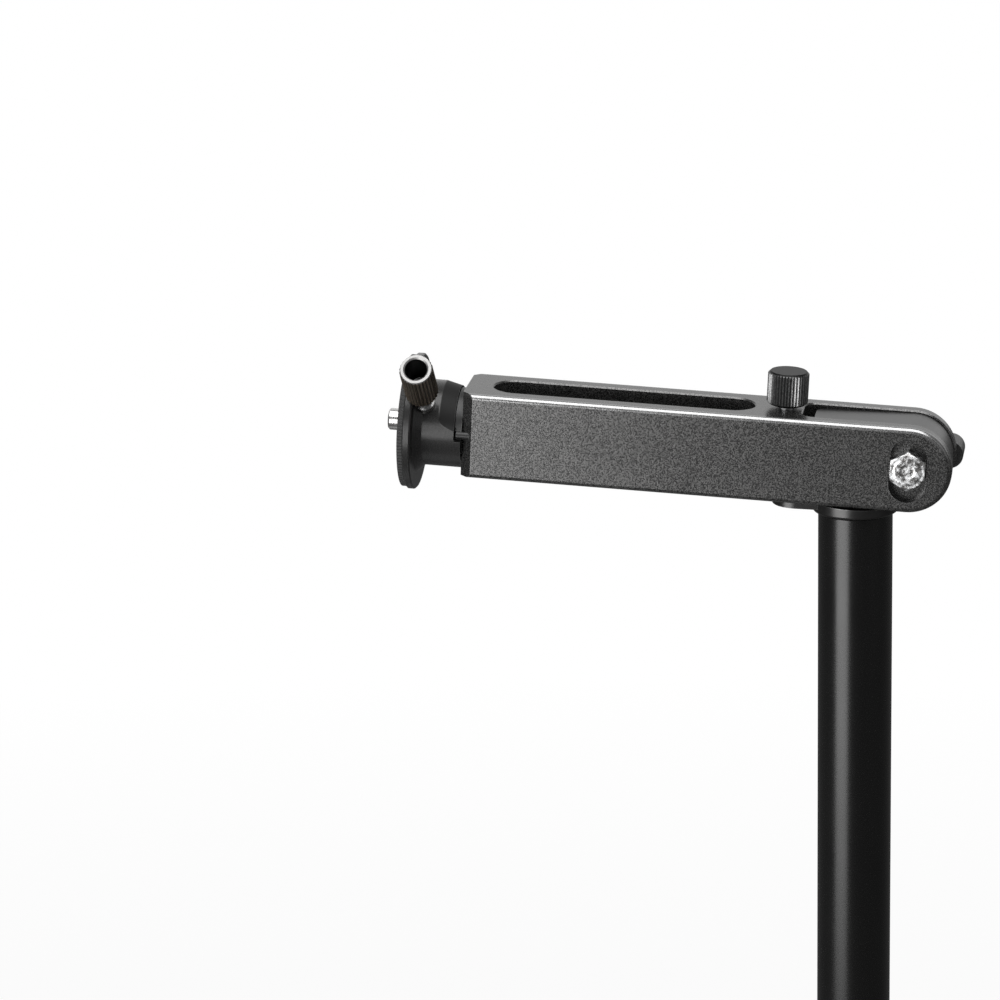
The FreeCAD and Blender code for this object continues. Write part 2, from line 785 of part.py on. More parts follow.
def make_bracket():
    """One milled piece: the boss on the column, the foot under the web and the tongue in the fork.

    It is drawn from the pivot, in the slope of the foot. The boss stands square on the column, so in
    this frame it leans, and its top is cut flush with the foot."""
    lean = {"axis": (0, 1, 0), "angle": "0 - bracket_slope"}
    block = new_body("bracket_block")
    tongue = outline(block, "tongue", "XZ", [
        ("0 - tongue_reach", "0 - foot_drop - foot_thick / 2"),
        ("tongue_heel", "0 - foot_drop - foot_thick / 2"),
        ("tongue_heel", "0 - tongue_root", "0", None),
        ("0", "tongue_radius"),
        ("0 - tongue_reach", "tongue_radius"),
    ])
    pad(block, tongue, "tongue_thick", both_ways=True)
    far = number("0 - tongue_reach")
    soften(block, "Fillet", "tongue_corner", lambda edge: upright(edge)
           and abs(edge.BoundBox.XMin - far) < 1e-4)
    half = "tongue_thick / 2"
    round_x = "%s - pivot_offset - foot_reach" % half
    foot = outline(block, "foot", "XY", [
        ("boss_middle", "0 - " + half),
        ("boss_middle", half),
        (round_x, half, round_x, None),
        (round_x, "0 - " + half),
    ], "0 - foot_drop - foot_thick")
    pad(block, foot, "foot_thick")
    drill(block, "pivot_hole", "bolt_radius + running_gap", "tongue_thick + 2",
          y="tongue_thick / 2 + 1", axis=(1, 0, 0), angle="90")
    drill(block, "stud_hole", "stud_radius", "10 + seat_gap", x="boss_foot_x", z="boss_foot_z", **lean)
    body = new_body("bracket_boss")
    boss = body.newObject("PartDesign::AdditiveCylinder", "boss")
    bind(boss, "Radius", "boss_radius")
    bind(boss, "Height", "boss_height + boss_radius * tan(bracket_slope * 1 deg) + 0.5")
    place(boss, "", "boss_foot_x", "0", "boss_foot_z", **lean)
    doc.recompute()
    foot_level = number("0 - foot_drop - boss_height / 2")
    soften(body, "Fillet", "boss_round", lambda edge: edge.Curve.TypeId == "Part::GeomCircle"
           and edge.CenterOfMass.z < foot_level)
    reach = "boss_radius + 2"
    above = outline(body, "above_foot", "XY", [
        ("boss_middle - (%s)" % reach, "0 - (%s)" % reach),
        ("boss_middle + %s" % reach, "0 - (%s)" % reach),
        ("boss_middle + %s" % reach, reach),
        ("boss_middle - (%s)" % reach, reach),
    ], "0 - foot_drop")
    pocket(body, above, "boss_height + 2", flip=True)
    drill(body, "boss_stud_hole", "stud_radius", "10 + seat_gap", x="boss_foot_x", z="boss_foot_z", **lean)
    finish(boolean("Fuse", "tilt_bracket", block, body), "bracket_frame")


# Arm

def make_arm():
    """A square bar: the window, the web with the levelling screw, and the fork with its round end."""
    body = new_body("arm_bar")
    side = outline(body, "arm_side_view", "XZ", [
        ("0 - arm_reach", "0 - arm_half"),
        ("0", "0 - arm_half", "0", None),
        ("0", "arm_half"),
        ("0 - arm_reach", "arm_half"),
    ])
    pad(body, side, "arm_width", both_ways=True)
    left = number("0 - arm_reach")
    soften(body, "Chamfer", "arm_end_chamfer", lambda edge: upright(edge)
           and abs(edge.BoundBox.XMin - left) < 1e-4)
    wide = number("arm_side")
    soften(body, "Fillet", "arm_round", lambda edge: abs(abs(edge.BoundBox.YMin) - wide) < 1e-4
           and edge.BoundBox.YLength < 1e-4 and not upright(edge))
    half = number("arm_half")
    window = outline(body, "window", "XY",
                     slot_corners("window_left + window_round", "window_right - window_round", "window_round"),
                     "0 - arm_half - 1")
    pocket(body, window, "arm_height + 2", flip=True)
    soften(body, "Chamfer", "edge_break", lambda edge: abs(abs(edge.BoundBox.ZMin) - half) < 1e-4
           and edge.BoundBox.ZLength < 1e-4 and abs(edge.BoundBox.YMax) < number("window_round + 0.01")
           and abs(edge.BoundBox.YMin) < number("window_round + 0.01")
           and edge.BoundBox.XMin > number("window_left - 0.01"))
    fork = outline(body, "fork", "XY", [
        ("0 - fork_reach", "0 - fork_half"),
        ("arm_half + 1", "0 - fork_half"),
        ("arm_half + 1", "fork_half"),
        ("0 - fork_reach", "fork_half"),
    ], "0 - arm_half - 1")
    pocket(body, fork, "arm_height + 2", flip=True)
    end = number("0 - fork_reach")
    soften(body, "Fillet", "fork_corner", lambda edge: upright(edge)
           and abs(edge.BoundBox.XMin - end) < 1e-4)
    slot = number("fork_half")
    soften(body, "Chamfer", "edge_break", lambda edge: half - 0.01 < edge.BoundBox.ZMax < half + 0.01
           and edge.BoundBox.ZLength < 1e-4 and abs(edge.CenterOfMass.y) < slot + 0.01
           and edge.BoundBox.XMin > end - 0.01 and edge.BoundBox.XMax < 0.01)
    hole_angle = {"axis": (1, 0, 0), "angle": "90"}
    drill(body, "pivot_bore", "bolt_radius + running_gap", "arm_width + 2", y="arm_side + 1", **hole_angle)
    trap_top = "trap_height / 2 - hex_across / 2 - trap_play / 2"
    trap = outline(body, "hex_trap", "XZ",
                   slot_corners("0 - (%s)" % trap_top, trap_top, "hex_across / 2 + trap_play / 2", upright=True),
                   "arm_side - trap_depth")
    pocket(body, trap, "trap_depth + 1", flip=True)
    drill(body, "level_hole", "level_screw_radius + running_gap", "arm_height + 2", x="0 - level_reach",
          z="0 - arm_half - 1")
    drill(body, "pad_pocket", "level_pad_radius + 0.3", "level_pocket_depth + 1", x="0 - level_reach",
          z="0 - arm_half - 1")
    drill(body, "head_screw_hole", "head_screw_radius + running_gap", "window_end_wall + 2",
          x="0 - arm_reach - 1", axis=(0, 1, 0), angle="90")
    drill(body, "stop_pin_hole", "stop_pin_radius + running_gap", "stop_pin_grip + 2",
          x="0 - arm_reach - 2", y="pin_y", z="pin_z", axis=(0, 1, 0), angle="90")
    finish(body, "arm_frame")


# Pivot hardware: bolt in its trap, washers, wing knob

def make_pivot():
    bolt = new_body("pivot_bolt")
    hexagon(bolt, "Additive", "hex_head", "hex_across", "hex_height", turn="30")
    corner = "hex_across / 2 / cos(30 deg) + 0.5"
    slope = "(%s - hex_across / 2 + 0.2) * tan(30 deg)" % corner
    sketch = outline(bolt, "head_chamfer", "XZ", [
        ("hex_across / 2 - 0.2", "hex_height + 0.01"),
        (corner, "hex_height + 0.01 - " + slope),
        (corner, "hex_height + 0.01"),
    ])
    before = bolt.Tip.Shape.Volume
    groove = bolt.newObject("PartDesign::Groove", "head_groove")
    groove.Profile = sketch
    groove.ReferenceAxis = (sketch, ["V_Axis"])
    groove.Angle = 360
    doc.recompute()
    if groove.Shape.Volume > before - 1e-3:
        raise ValueError("pivot_bolt: the head is not chamfered")
    pad(bolt, circles(bolt, "shank", "XY", [("0", "0", "bolt_radius")]), "bolt_length", flip=True)
    soften(bolt, "Chamfer", "0.5", at_height(number("0 - bolt_length")))
    finish(bolt, "arm_frame", y="0 - head_seat", axis=(1, 0, 0), angle="90")
    washers = []
    for index, spot in enumerate(("0 - fork_half", "tongue_thick / 2 + running_gap")):
        washer = tube("friction_washer_%d" % index, "friction_radius", "bolt_radius + running_gap",
                      "friction_thick")
        place(washer, "arm_frame", y=spot, axis=(1, 0, 0), angle="0 - 90")
        washers.append(washer)
    group("friction_washers", washers)
    washer = tube("pivot_washer", "washer_radius", "bolt_radius + running_gap", "washer_thick")
    finish(washer, "arm_frame", y="arm_side", axis=(1, 0, 0), angle="0 - 90")
    for piece in (wing_knob("pivot_knob"), threaded_insert("pivot_knob_insert")):
        bind(piece, "Placement",
             "arm_frame.Placement * placement(vector(0; arm_side + washer_thick + seat_gap; 0);"
             " rotation(vector(0; 1; 0); wing_turn * 1 deg))"
             " * placement(vector(0; 0; 0); rotation(vector(1; 0; 0); (0 - 90) * 1 deg))")
        PARTS.append(piece)


# Levelling screw: the knurled knob, the screw through the web and the pad on the foot

def make_level_screw():
    envelope = turned("level_knob_blank", [
        ("level_screw_radius", "0"),
        ("level_neck_radius", "0"),
        ("level_neck_radius", "level_neck_height"),
        ("level_knob_radius - knob_chamfer", "level_neck_height"),
        ("level_knob_radius", "level_neck_height + knob_chamfer"),
        ("level_knob_radius", "level_neck_height + level_knob_height - knob_chamfer"),
        ("level_knob_radius - knob_chamfer", "level_neck_height + level_knob_height"),
        ("0", "level_neck_height + level_knob_height"),
        ("0", "level_neck_height + level_knob_height / 2"),
        ("level_screw_radius", "level_neck_height + level_knob_height / 2"),
    ])
    knob = knurled("level_knob", envelope, LEVEL_TEETH, [
        ("level_knob_radius", "0 - 1"),
        ("level_knob_radius", "level_neck_height + level_knob_height + 1"),
    ])
    finish(knob, "arm_frame", "0 - level_reach", "0", "knob_foot")
    screw = turned("level_screw", [
        ("0", "0 - tip_depth + level_pad_height"),
        ("level_screw_radius - 0.5", "0 - tip_depth + level_pad_height"),
        ("level_screw_radius", "0 - tip_depth + level_pad_height + 0.5"),
        ("level_screw_radius", "knob_foot + level_neck_height + level_knob_height / 2"),
        ("0", "knob_foot + level_neck_height + level_knob_height / 2"),
    ])
    finish(screw, "arm_frame", "0 - level_reach")
    dome = "level_pad_radius * 0.25"
    pad_piece = turned("level_pad", [
        ("0", "seat_gap"),
        ("level_pad_radius * 0.5", "seat_gap + (%s) * 0.3" % dome),
        ("level_pad_radius", "seat_gap + " + dome),
        ("level_pad_radius", "level_pad_height"),
        ("0", "level_pad_height"),
    ])
    finish(pad_piece, "arm_frame", "0 - level_reach", "0", "0 - tip_depth")


# Head: stop disc, spindle, hub with its flange, pad, camera screw and thumb knob

def make_stop_disc():
    body = turned("stop_disc", [
        ("disc_left", "head_screw_radius + running_gap"),
        ("0 - arm_reach", "head_screw_radius + running_gap"),
        ("0 - arm_reach", "disc_radius"),
        ("disc_left", "disc_radius"),
    ], along="X")
    drill(body, "stop_pin_notch", "stop_pin_radius + running_gap", "disc_thick + 2",
          x="disc_left - 1", y="pin_y", z="pin_z", axis=(0, 1, 0), angle="90")
    finish(body, "arm_frame")
    pin = turned("stop_pin", [
        ("0", "0"),
        ("stop_pin_radius - 0.3", "0"),
        ("stop_pin_radius", "0.3"),
        ("stop_pin_radius", "stop_pin_grip + disc_thick - seat_gap"),
        ("0", "stop_pin_grip + disc_thick - seat_gap"),
    ])
    finish(pin, "arm_frame", "disc_left + seat_gap", "pin_y", "pin_z", axis=(0, 1, 0), angle="90")


def make_spindle():
    waist = "spindle_radius - spindle_groove"
    body = turned("head_spindle", [
        ("spindle_left", "0"),
        ("disc_left - head_screw_length + saddle_thick + window_end_wall + disc_thick - 1", "0"),
        ("disc_left - head_screw_length + saddle_thick + window_end_wall + disc_thick - 1",
         "head_screw_radius + running_gap"),
        ("disc_left", "head_screw_radius + running_gap"),
        ("disc_left", "spindle_radius"),
        ("thumb_x + brake_radius + seat_gap + 0.4", "spindle_radius"),
        ("thumb_x + brake_radius + seat_gap", waist),
        ("thumb_x - brake_radius - seat_gap", waist),
        ("thumb_x - brake_radius - seat_gap - 0.4", "spindle_radius"),
        ("spindle_left", "spindle_radius"),
    ], along="X")
    finish(body, "arm_frame")


def make_head_screw():
    screw = socket_screw("head_screw", "head_screw_radius", "head_screw_length")
    finish(screw, "arm_frame", "saddle_right", axis=(0, 1, 0), angle="90")
    across = doc.addObject("Part::Cylinder", "saddle_round")
    bind(across, "Radius", "saddle_radius")
    bind(across, "Height", "saddle_thick")
    place(across, "", "window_left", axis=(0, 1, 0), angle="90")
    along = doc.addObject("Part::Cylinder", "saddle_window_round")
    bind(along, "Radius", "window_round - 2 * seat_gap")
    bind(along, "Height", "2 * saddle_radius + 2")
    place(along, "", "window_left + window_round - seat_gap", "0", "0 - saddle_radius - 1")
    hole = doc.addObject("Part::Cylinder", "saddle_hole")
    bind(hole, "Radius", "head_screw_radius + running_gap")
    bind(hole, "Height", "saddle_thick + 2")
    place(hole, "", "window_left - 1", axis=(0, 1, 0), angle="90")
    seat = boolean("Common", "saddle_blank", across, along)
    finish(boolean("Cut", "saddle_washer", seat, hole), "arm_frame")


def groove_round(body, name, corners, start, sweep):
    """Cut a profile round the body's x axis, from one angle back through a sweep."""
    before = body.Tip.Shape.Volume
    sketch = outline(body, name, "XZ", corners, turn="%s - %s" % (start, sweep))
    made = body.newObject("PartDesign::Groove", name + "_groove")
    made.Profile = sketch
    made.ReferenceAxis = (sketch, ["H_Axis"])
    bind(made, "Angle", sweep)
    doc.recompute()
    if made.Shape.Volume > before - 1e-3:
        raise ValueError(body.Label + ": " + name + " cuts nothing")


def make_hub():
    """The turning hub: a skirt over the stop disc, a bore on the spindle, a flare and the flange.

    Angles go round from the top towards the user. The skirt is open where the stop pin runs, and a
    tapered relief beside it ends at both sides in the round of the cone that cuts it."""
    body = turned("head_hub", [
        ("hub_start", "disc_radius + 2 * running_gap"),
        ("hub_start", "hub_radius"),
        ("flare_start", "hub_radius"),
        ("flange_right", "hub_radius + flare"),
        ("flange_right", "flange_radius - edge_break"),
        ("flange_right - edge_break", "flange_radius"),
        ("flange_left + edge_break", "flange_radius"),
        ("flange_left", "flange_radius - edge_break"),
        ("flange_left", "camera_root_radius"),
        ("bore_left", "camera_root_radius"),
        ("bore_left", "spindle_radius + running_gap"),
        ("hub_floor", "spindle_radius + running_gap"),
        ("hub_floor", "disc_radius + 2 * running_gap"),
    ], along="X")
    relief_left = "0 - arm_reach - relief_length"
    drop = "hub_radius - relief_drop"
    groove_round(body, "relief", [
        ("hub_floor", drop),
        ("hub_start + 1", drop),
        ("hub_start + 1", "hub_radius + 1"),
        (relief_left, "hub_radius + 1"),
        (relief_left, "hub_radius"),
    ], "relief_start", "relief_sweep")
    groove_round(body, "skirt_window", [
        ("hub_floor", "disc_radius + running_gap"),
        ("hub_start + 1", "disc_radius + running_gap"),
        ("hub_start + 1", "hub_radius + 1"),
        ("hub_floor", "hub_radius + 1"),
    ], "(stop_angle + pin_half_angle + stop_play)", "stop_sweep")
    for index, angle in enumerate(("relief_start", "(relief_start - relief_sweep)")):
        before = body.Tip.Shape.Volume
        cone = body.newObject("PartDesign::SubtractiveCone", "relief_end_%d" % index)
        bind(cone, "Radius1", "relief_cutter - 0.02")
        bind(cone, "Radius2", "relief_cutter + relief_drop - 0.02")
        bind(cone, "Height", "relief_length + arm_reach + hub_floor")
        away = "(hub_radius + relief_cutter)"
        place(cone, "", relief_left, "0 - %s * sin(%s * 1 deg)" % (away, angle),
              "%s * cos(%s * 1 deg)" % (away, angle), axis=(0, 1, 0), angle="90")
        doc.recompute()
        if body.Tip.Shape.Volume > before - 1e-3:
            raise ValueError("head_hub: a relief end cuts nothing")
    drill(body, "thumb_hole", "thumb_screw_radius + running_gap", "hub_radius + flare + 1", x="thumb_x",
          axis=(1, 0, 0), angle="thumb_angle")
    drill(body, "thumb_spotface", "thumb_collar_radius + seat_gap", "flare + 2", x="thumb_x",
          y="0 - thumb_seat * sin(thumb_angle * 1 deg)", z="thumb_seat * cos(thumb_angle * 1 deg)",
          axis=(1, 0, 0), angle="thumb_angle")
    finish(body, "arm_frame")


def make_camera_seat():
    seat = turned("camera_pad", [
        ("flange_left - pad_thick", "camera_root_radius + 1.5"),
        ("flange_left", "camera_root_radius + 1.5"),
        ("flange_left", "pad_radius"),
        ("flange_left - pad_thick", "pad_radius"),
    ], along="X")
    finish(seat, "arm_frame")
    tip = "flange_left - pad_thick - camera_screw_reach"
    screw = turned("camera_screw", [
        (tip, "0"),
        ("bore_left - seat_gap", "0"),
        ("bore_left - seat_gap", "camera_root_radius"),
        ("flange_left", "camera_root_radius"),
        ("flange_left", "camera_screw_radius"),
        (tip + " + 0.5", "camera_screw_radius"),
        (tip, "camera_screw_radius - 0.5"),
    ], along="X")
    finish(screw, "arm_frame")


def finish_thumb(item):
    """Pieces on the thumb screw's axis: z is the distance from the hub's axis."""
    finish(item, "arm_frame", "thumb_x", axis=(1, 0, 0), angle="thumb_angle")


def make_thumb_knob():
    top = "thumb_lift + thumb_height"
    envelope = turned("thumb_knob_blank", [
        ("thumb_screw_radius", "thumb_lift"),
        ("thumb_radius - knob_chamfer", "thumb_lift"),
        ("thumb_radius", "thumb_lift + knob_chamfer"),
        ("thumb_radius", top + " - thumb_tip_length"),
        ("thumb_tip_radius", top),
        ("thumb_bore_radius + 0.4", top),
        ("thumb_bore_radius", top + " - 0.4"),
        ("thumb_bore_radius", top + " - thumb_bore_depth"),
        ("thumb_screw_radius", top + " - thumb_bore_depth"),
    ])
    knob = knurled("thumb_knob", envelope, THUMB_TEETH, [
        ("thumb_radius", "thumb_lift - 1"),
        ("thumb_radius", top + " + 1"),
    ])
    finish_thumb(knob)
    finish_thumb(turned("thumb_screw", [
        ("0", "spindle_radius + 0.9"),
        ("thumb_screw_radius - 0.4", "spindle_radius + 0.9"),
        ("thumb_screw_radius", "spindle_radius + 1.3"),
        ("thumb_screw_radius", top + " - thumb_bore_depth"),
        ("0", top + " - thumb_bore_depth"),
    ]))
    finish_thumb(turned("thumb_collar", [
        ("thumb_screw_radius", "thumb_seat"),
        ("thumb_collar_radius", "thumb_seat"),
        ("thumb_collar_radius", "thumb_seat + flare"),
        ("thumb_screw_radius", "thumb_seat + flare"),
    ]))
    finish_thumb(turned("brake_tip", [
        ("0", "spindle_radius - spindle_groove + seat_gap"),
        ("brake_radius", "spindle_radius - spindle_groove + seat_gap"),
        ("brake_radius", "spindle_radius + 0.9"),
        ("0", "spindle_radius + 0.9"),
    ]))


make_base_board()
make_rubber_feet()
make_column_socket()
make_lower_tube()
make_clamp_collar()
make_collar_bush()
make_column()
make_bracket()
make_arm()
make_pivot()
make_level_screw()
make_stop_disc()
make_spindle()
make_head_screw()
make_hub()
make_camera_seat()
make_thumb_knob()
doc.recompute()

# Every object must have come out sound before anything is written

for item in doc.Objects:
    if "Invalid" in item.State or "Error" in item.State:
        raise ValueError("failed: " + item.Label)
os.makedirs("parts", exist_ok=True)
for item in PARTS:
    shape = item.Shape
    if shape.isNull() or not shape.isValid():
        raise ValueError("bad shape: " + item.Label)
    shape.exportStep("parts/%s.step" % item.Label)
    print("%-20s %d solids %9.1f mm3" % (item.Label, len(shape.Solids), shape.Volume))
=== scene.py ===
# %% [markdown]
# # A copy stand
#
# A copy stand carries its load above the middle of a board, so that a page lying there is seen
# square on. The CAD model gives every piece at its real size and stays as it is. This lesson gives
# each piece its real finish, and then sets the floor, the lamps and the view.
#
# Everything is in metres. Z is up, the arm reaches to -X, and the user stands on the -Y side.

# %% Load the frame
import bpy
import json
import math
from mathutils import Matrix, Vector

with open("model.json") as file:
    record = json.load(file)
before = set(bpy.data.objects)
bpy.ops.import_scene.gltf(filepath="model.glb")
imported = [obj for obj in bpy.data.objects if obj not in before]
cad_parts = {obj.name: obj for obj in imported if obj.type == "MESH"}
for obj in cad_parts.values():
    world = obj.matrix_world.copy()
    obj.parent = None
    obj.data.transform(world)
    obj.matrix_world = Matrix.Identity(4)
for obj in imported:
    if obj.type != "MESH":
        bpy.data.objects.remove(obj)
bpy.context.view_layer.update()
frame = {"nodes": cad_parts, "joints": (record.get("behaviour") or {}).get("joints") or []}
nodes = frame["nodes"]
joints = {joint["name"]: joint for joint in frame["joints"]}
MM = 0.001
print("CAD nodes:", len(nodes), "joints:", len(joints))

# %% [markdown]
# A few places steer most of what follows: the pivot of the arm, the axis of the column, the line of
# the arm, and the axes of the knobs. They could be typed in as numbers, but then a finish would miss
# its part when the stand changes. They are read from the joints of the frame instead, so that a
# finish turned about a part's axis stays on that axis.

# %% Places on the stand
def joint_spot(name):
    return Vector(joints[name]["pos_m"])


def joint_line(name):
    return Vector(joints[name]["axis"])


pivot = joint_spot("arm_tilt")
column = joint_spot("column_pan")
arm_line = joint_line("head_roll")
thumb_spot = joint_spot("thumb_turn")
thumb_line = joint_line("thumb_turn")
level_spot = joint_spot("level_spin")
level_line = joint_line("level_spin")
wing_spot = joint_spot("pivot_knob_turn")
collar_spot = joint_spot("collar_knob_turn")
BOLT_LINE = (0, 1, 0)
COLLAR_LINE = (1, 0, 0)
print("pivot height %.1f mm" % (pivot.z / MM))
print("arm slope %.2f degrees" % math.degrees(math.asin(-arm_line.z)))


# %% [markdown]
# ## Building materials from nodes
#
# A material is a small graph. Each node could be made and linked in a few lines of its own, but
# the recipes would drown in them. These helpers make one node or one link each, so that a recipe
# reads as a list of what the finish is made of.

# %% One node, one link
def add_node(tree, kind, **settings):
    """A node of a tree. A setting is a property of the node or the default value of a socket."""
    made = tree.nodes.new(kind)
    for key, value in settings.items():
        if hasattr(made, key):
            setattr(made, key, value)
        else:
            made.inputs[key.replace("_", " ")].default_value = value
    return made


def join(tree, start, end):
    tree.links.new(start, end)


print("helpers:", add_node.__name__, join.__name__)


# %% [markdown]
# Most of a finish is arithmetic on masks: one number is scaled, limited or added to another. A Math
# node does one sum. A Map Range node takes a stretch of values to another stretch and stops at both
# ends, which makes it the plainest way to say where a change starts and where it is complete.

# %% Numbers that vary over a surface
def math_node(tree, operation, first, second=0.5):
    """The output of a Math node; each input is a socket or a number."""
    made = tree.nodes.new("ShaderNodeMath")
    made.operation = operation
    for index, value in enumerate((first, second)):
        if isinstance(value, (int, float)):
            made.inputs[index].default_value = value
        else:
            join(tree, value, made.inputs[index])
    return made.outputs[0]


def product(tree, first, second):
    return math_node(tree, "MULTIPLY", first, second)


def spread(tree, value, low, high, new_low=0.0, new_high=1.0):
    """The output of a Map Range node from (low, high) to (new_low, new_high), kept inside it."""
    made = add_node(tree, "ShaderNodeMapRange", clamp=True)
    for index, number in enumerate((low, high, new_low, new_high), start=1):
        made.inputs[index].default_value = number
    join(tree, value, made.inputs[0])
    return made.outputs[0]


print("helpers:", math_node.__name__, product.__name__, spread.__name__)


# %% [markdown]
# The stand is nearly free of colour: charcoal, black, steel and brass. So a colour is mostly one
# number with a slight lean to warm or cold, and two colours are blended by a mask.

# %% Colours
# The sockets of a Mix node that belong to colours
MIX_FIRST = 6
MIX_SECOND = 7
MIX_RESULT = 2


def grey(value, warm=0.0):
    """A nearly neutral colour; warm above zero leans to red, below zero to blue."""
    return (value * (1 + warm), value, value * (1 - warm), 1.0)


def scaled(colour, factor):
    """A colour made darker or lighter, and no more than white."""
    return tuple(min(1.0, part * factor) for part in colour[:3]) + (1.0,)


def blend_colours(tree, mask, first, second):
    """The output of a Mix node for two colours, each a socket or a tuple."""
    made = add_node(tree, "ShaderNodeMix", data_type="RGBA")
    for index, value in ((MIX_FIRST, first), (MIX_SECOND, second)):
        if isinstance(value, tuple):
            made.inputs[index].default_value = value
        else:
            join(tree, value, made.inputs[index])
    join(tree, mask, made.inputs[0])
    return made.outputs[MIX_RESULT]


print("a warm grey:", grey(0.5, 0.01))


# %% [markdown]
# ## Effects that many parts share
#
# Every coated or machined part shows three things from close by: a fine grain in its surface, paler
# metal where an edge has been rubbed, and the marks that the tool left. Each could be built again in
# every material. As a node group with inputs it is built once, and each material gives it numbers.

# %% Node groups
def new_group(name, inputs, outputs):
    """An empty shader node group with named sockets, and its two end nodes."""
    tree = bpy.data.node_groups.new(name, "ShaderNodeTree")
    for label, kind, value in inputs:
        socket = tree.interface.new_socket(label, in_out="INPUT", socket_type="NodeSocket" + kind)
        if value is not None:
            socket.default_value = value
    for label, kind in outputs:
        tree.interface.new_socket(label, in_out="OUTPUT", socket_type="NodeSocket" + kind)
    return tree, tree.nodes.new("NodeGroupInput"), tree.nodes.new("NodeGroupOutput")


print("helper:", new_group.__name__)

# %% [markdown]
# The grain of a sprayed or anodised coat is noise in the part's own space, so that it stays on the
# part when the part moves. A fine noise makes the speckle, and a broad one makes faint patches, as
# no coat is perfectly even. Size is that of the speckle in millimetres.

# %% Grain group
MM_PER_METRE = 1000.0
PATCH_SCALE = 45.0

grain_tree, grain_in, grain_out = new_group(
    "grain",
    [("Size", "Float", 0.4), ("Depth", "Float", 0.5), ("Patches", "Float", 0.2)],
    [("Value", "Float"), ("Height", "Float")])
grain_place = add_node(grain_tree, "ShaderNodeTexCoord")
grain_scale = math_node(grain_tree, "DIVIDE", MM_PER_METRE, grain_in.outputs["Size"])
grain_fine = add_node(grain_tree, "ShaderNodeTexNoise", Detail=3.0, Roughness=0.6)
join(grain_tree, grain_place.outputs["Object"], grain_fine.inputs["Vector"])
join(grain_tree, grain_scale, grain_fine.inputs["Scale"])
grain_broad = add_node(grain_tree, "ShaderNodeTexNoise", Scale=PATCH_SCALE, Detail=2.0)
join(grain_tree, grain_place.outputs["Object"], grain_broad.inputs["Vector"])


def about_zero(noise):
    """A noise value moved so that its middle is at zero."""
    return math_node(grain_tree, "SUBTRACT", noise.outputs["Fac"], 0.5)


fine_part = product(grain_tree, about_zero(grain_fine), grain_in.outputs["Depth"])
broad_part = product(grain_tree, about_zero(grain_broad), grain_in.outputs["Patches"])
both_parts = math_node(grain_tree, "ADD", fine_part, broad_part)
join(grain_tree, math_node(grain_tree, "ADD", both_parts, 0.5), grain_out.inputs["Value"])
join(grain_tree, grain_fine.outputs["Fac"], grain_out.inputs["Height"])
print("grain:", len(grain_tree.nodes), "nodes")

# %% [markdown]
# Worn edges could be painted on, part by part. This mask finds them itself: it compares the true
# normal with one that a small bevel would give, and the two differ only within the bevel's
# radius of an edge. Noise breaks the line up, because no edge wears evenly.

# %% Edge wear group
EDGE_STARTS = 0.97
EDGE_FULL = 0.80
WEAR_SCALE = 420.0

wear_tree, wear_in, wear_out = new_group(
    "edge_wear", [("Radius", "Float", 0.0004), ("Amount", "Float", 0.6)], [("Mask", "Float")])
wear_bevel = add_node(wear_tree, "ShaderNodeBevel", samples=6)
join(wear_tree, wear_in.outputs["Radius"], wear_bevel.inputs["Radius"])
wear_true = add_node(wear_tree, "ShaderNodeNewGeometry")
wear_dot = add_node(wear_tree, "ShaderNodeVectorMath", operation="DOT_PRODUCT")
join(wear_tree, wear_bevel.outputs["Normal"], wear_dot.inputs[0])
join(wear_tree, wear_true.outputs["Normal"], wear_dot.inputs[1])
wear_edge = spread(wear_tree, wear_dot.outputs["Value"], EDGE_STARTS, EDGE_FULL)
wear_place = add_node(wear_tree, "ShaderNodeTexCoord")
wear_noise = add_node(wear_tree, "ShaderNodeTexNoise", Scale=WEAR_SCALE, Detail=4.0)
join(wear_tree, wear_place.outputs["Object"], wear_noise.inputs["Vector"])
wear_broken = spread(wear_tree, wear_noise.outputs["Fac"], 0.36, 0.56, 0.35, 1.0)
wear_mask = product(wear_tree, product(wear_tree, wear_edge, wear_broken), wear_in.outputs["Amount"])
join(wear_tree, wear_mask, wear_out.inputs["Mask"])
print("edge wear:", len(wear_tree.nodes), "nodes")

# %% [markdown]
# A lathe leaves fine rings on a face and on a barrel. Noise of one dimension draws both: it walks
# with the sum of the distance along the axis and the distance from it, so it makes rings on a face
# and bands on a barrel. The place that comes in already has the part's axis as its Z. The distance
# from the axis is put out too, for the parts whose finish changes with it.

# %% Turning marks group
turn_tree, turn_in, turn_out = new_group(
    "turning_marks",
    [("Place", "Vector", None), ("Pitch", "Float", 0.25)],
    [("Value", "Float"), ("Radius", "Float")])
turn_split = add_node(turn_tree, "ShaderNodeSeparateXYZ")
join(turn_tree, turn_in.outputs["Place"], turn_split.inputs[0])
turn_flat = add_node(turn_tree, "ShaderNodeCombineXYZ")
join(turn_tree, turn_split.outputs["X"], turn_flat.inputs["X"])
join(turn_tree, turn_split.outputs["Y"], turn_flat.inputs["Y"])
turn_length = add_node(turn_tree, "ShaderNodeVectorMath", operation="LENGTH")
join(turn_tree, turn_flat.outputs[0], turn_length.inputs[0])
turn_scale = math_node(turn_tree, "DIVIDE", MM_PER_METRE, turn_in.outputs["Pitch"])
turn_walk = math_node(turn_tree, "ADD", turn_split.outputs["Z"], turn_length.outputs["Value"])
turn_noise = add_node(turn_tree, "ShaderNodeTexNoise", noise_dimensions="1D", Detail=2.0, Scale=1.0)
join(turn_tree, product(turn_tree, turn_walk, turn_scale), turn_noise.inputs["W"])
join(turn_tree, turn_noise.outputs["Fac"], turn_out.inputs["Value"])
join(turn_tree, turn_length.outputs["Value"], turn_out.inputs["Radius"])
print("turning marks:", len(turn_tree.nodes), "nodes")


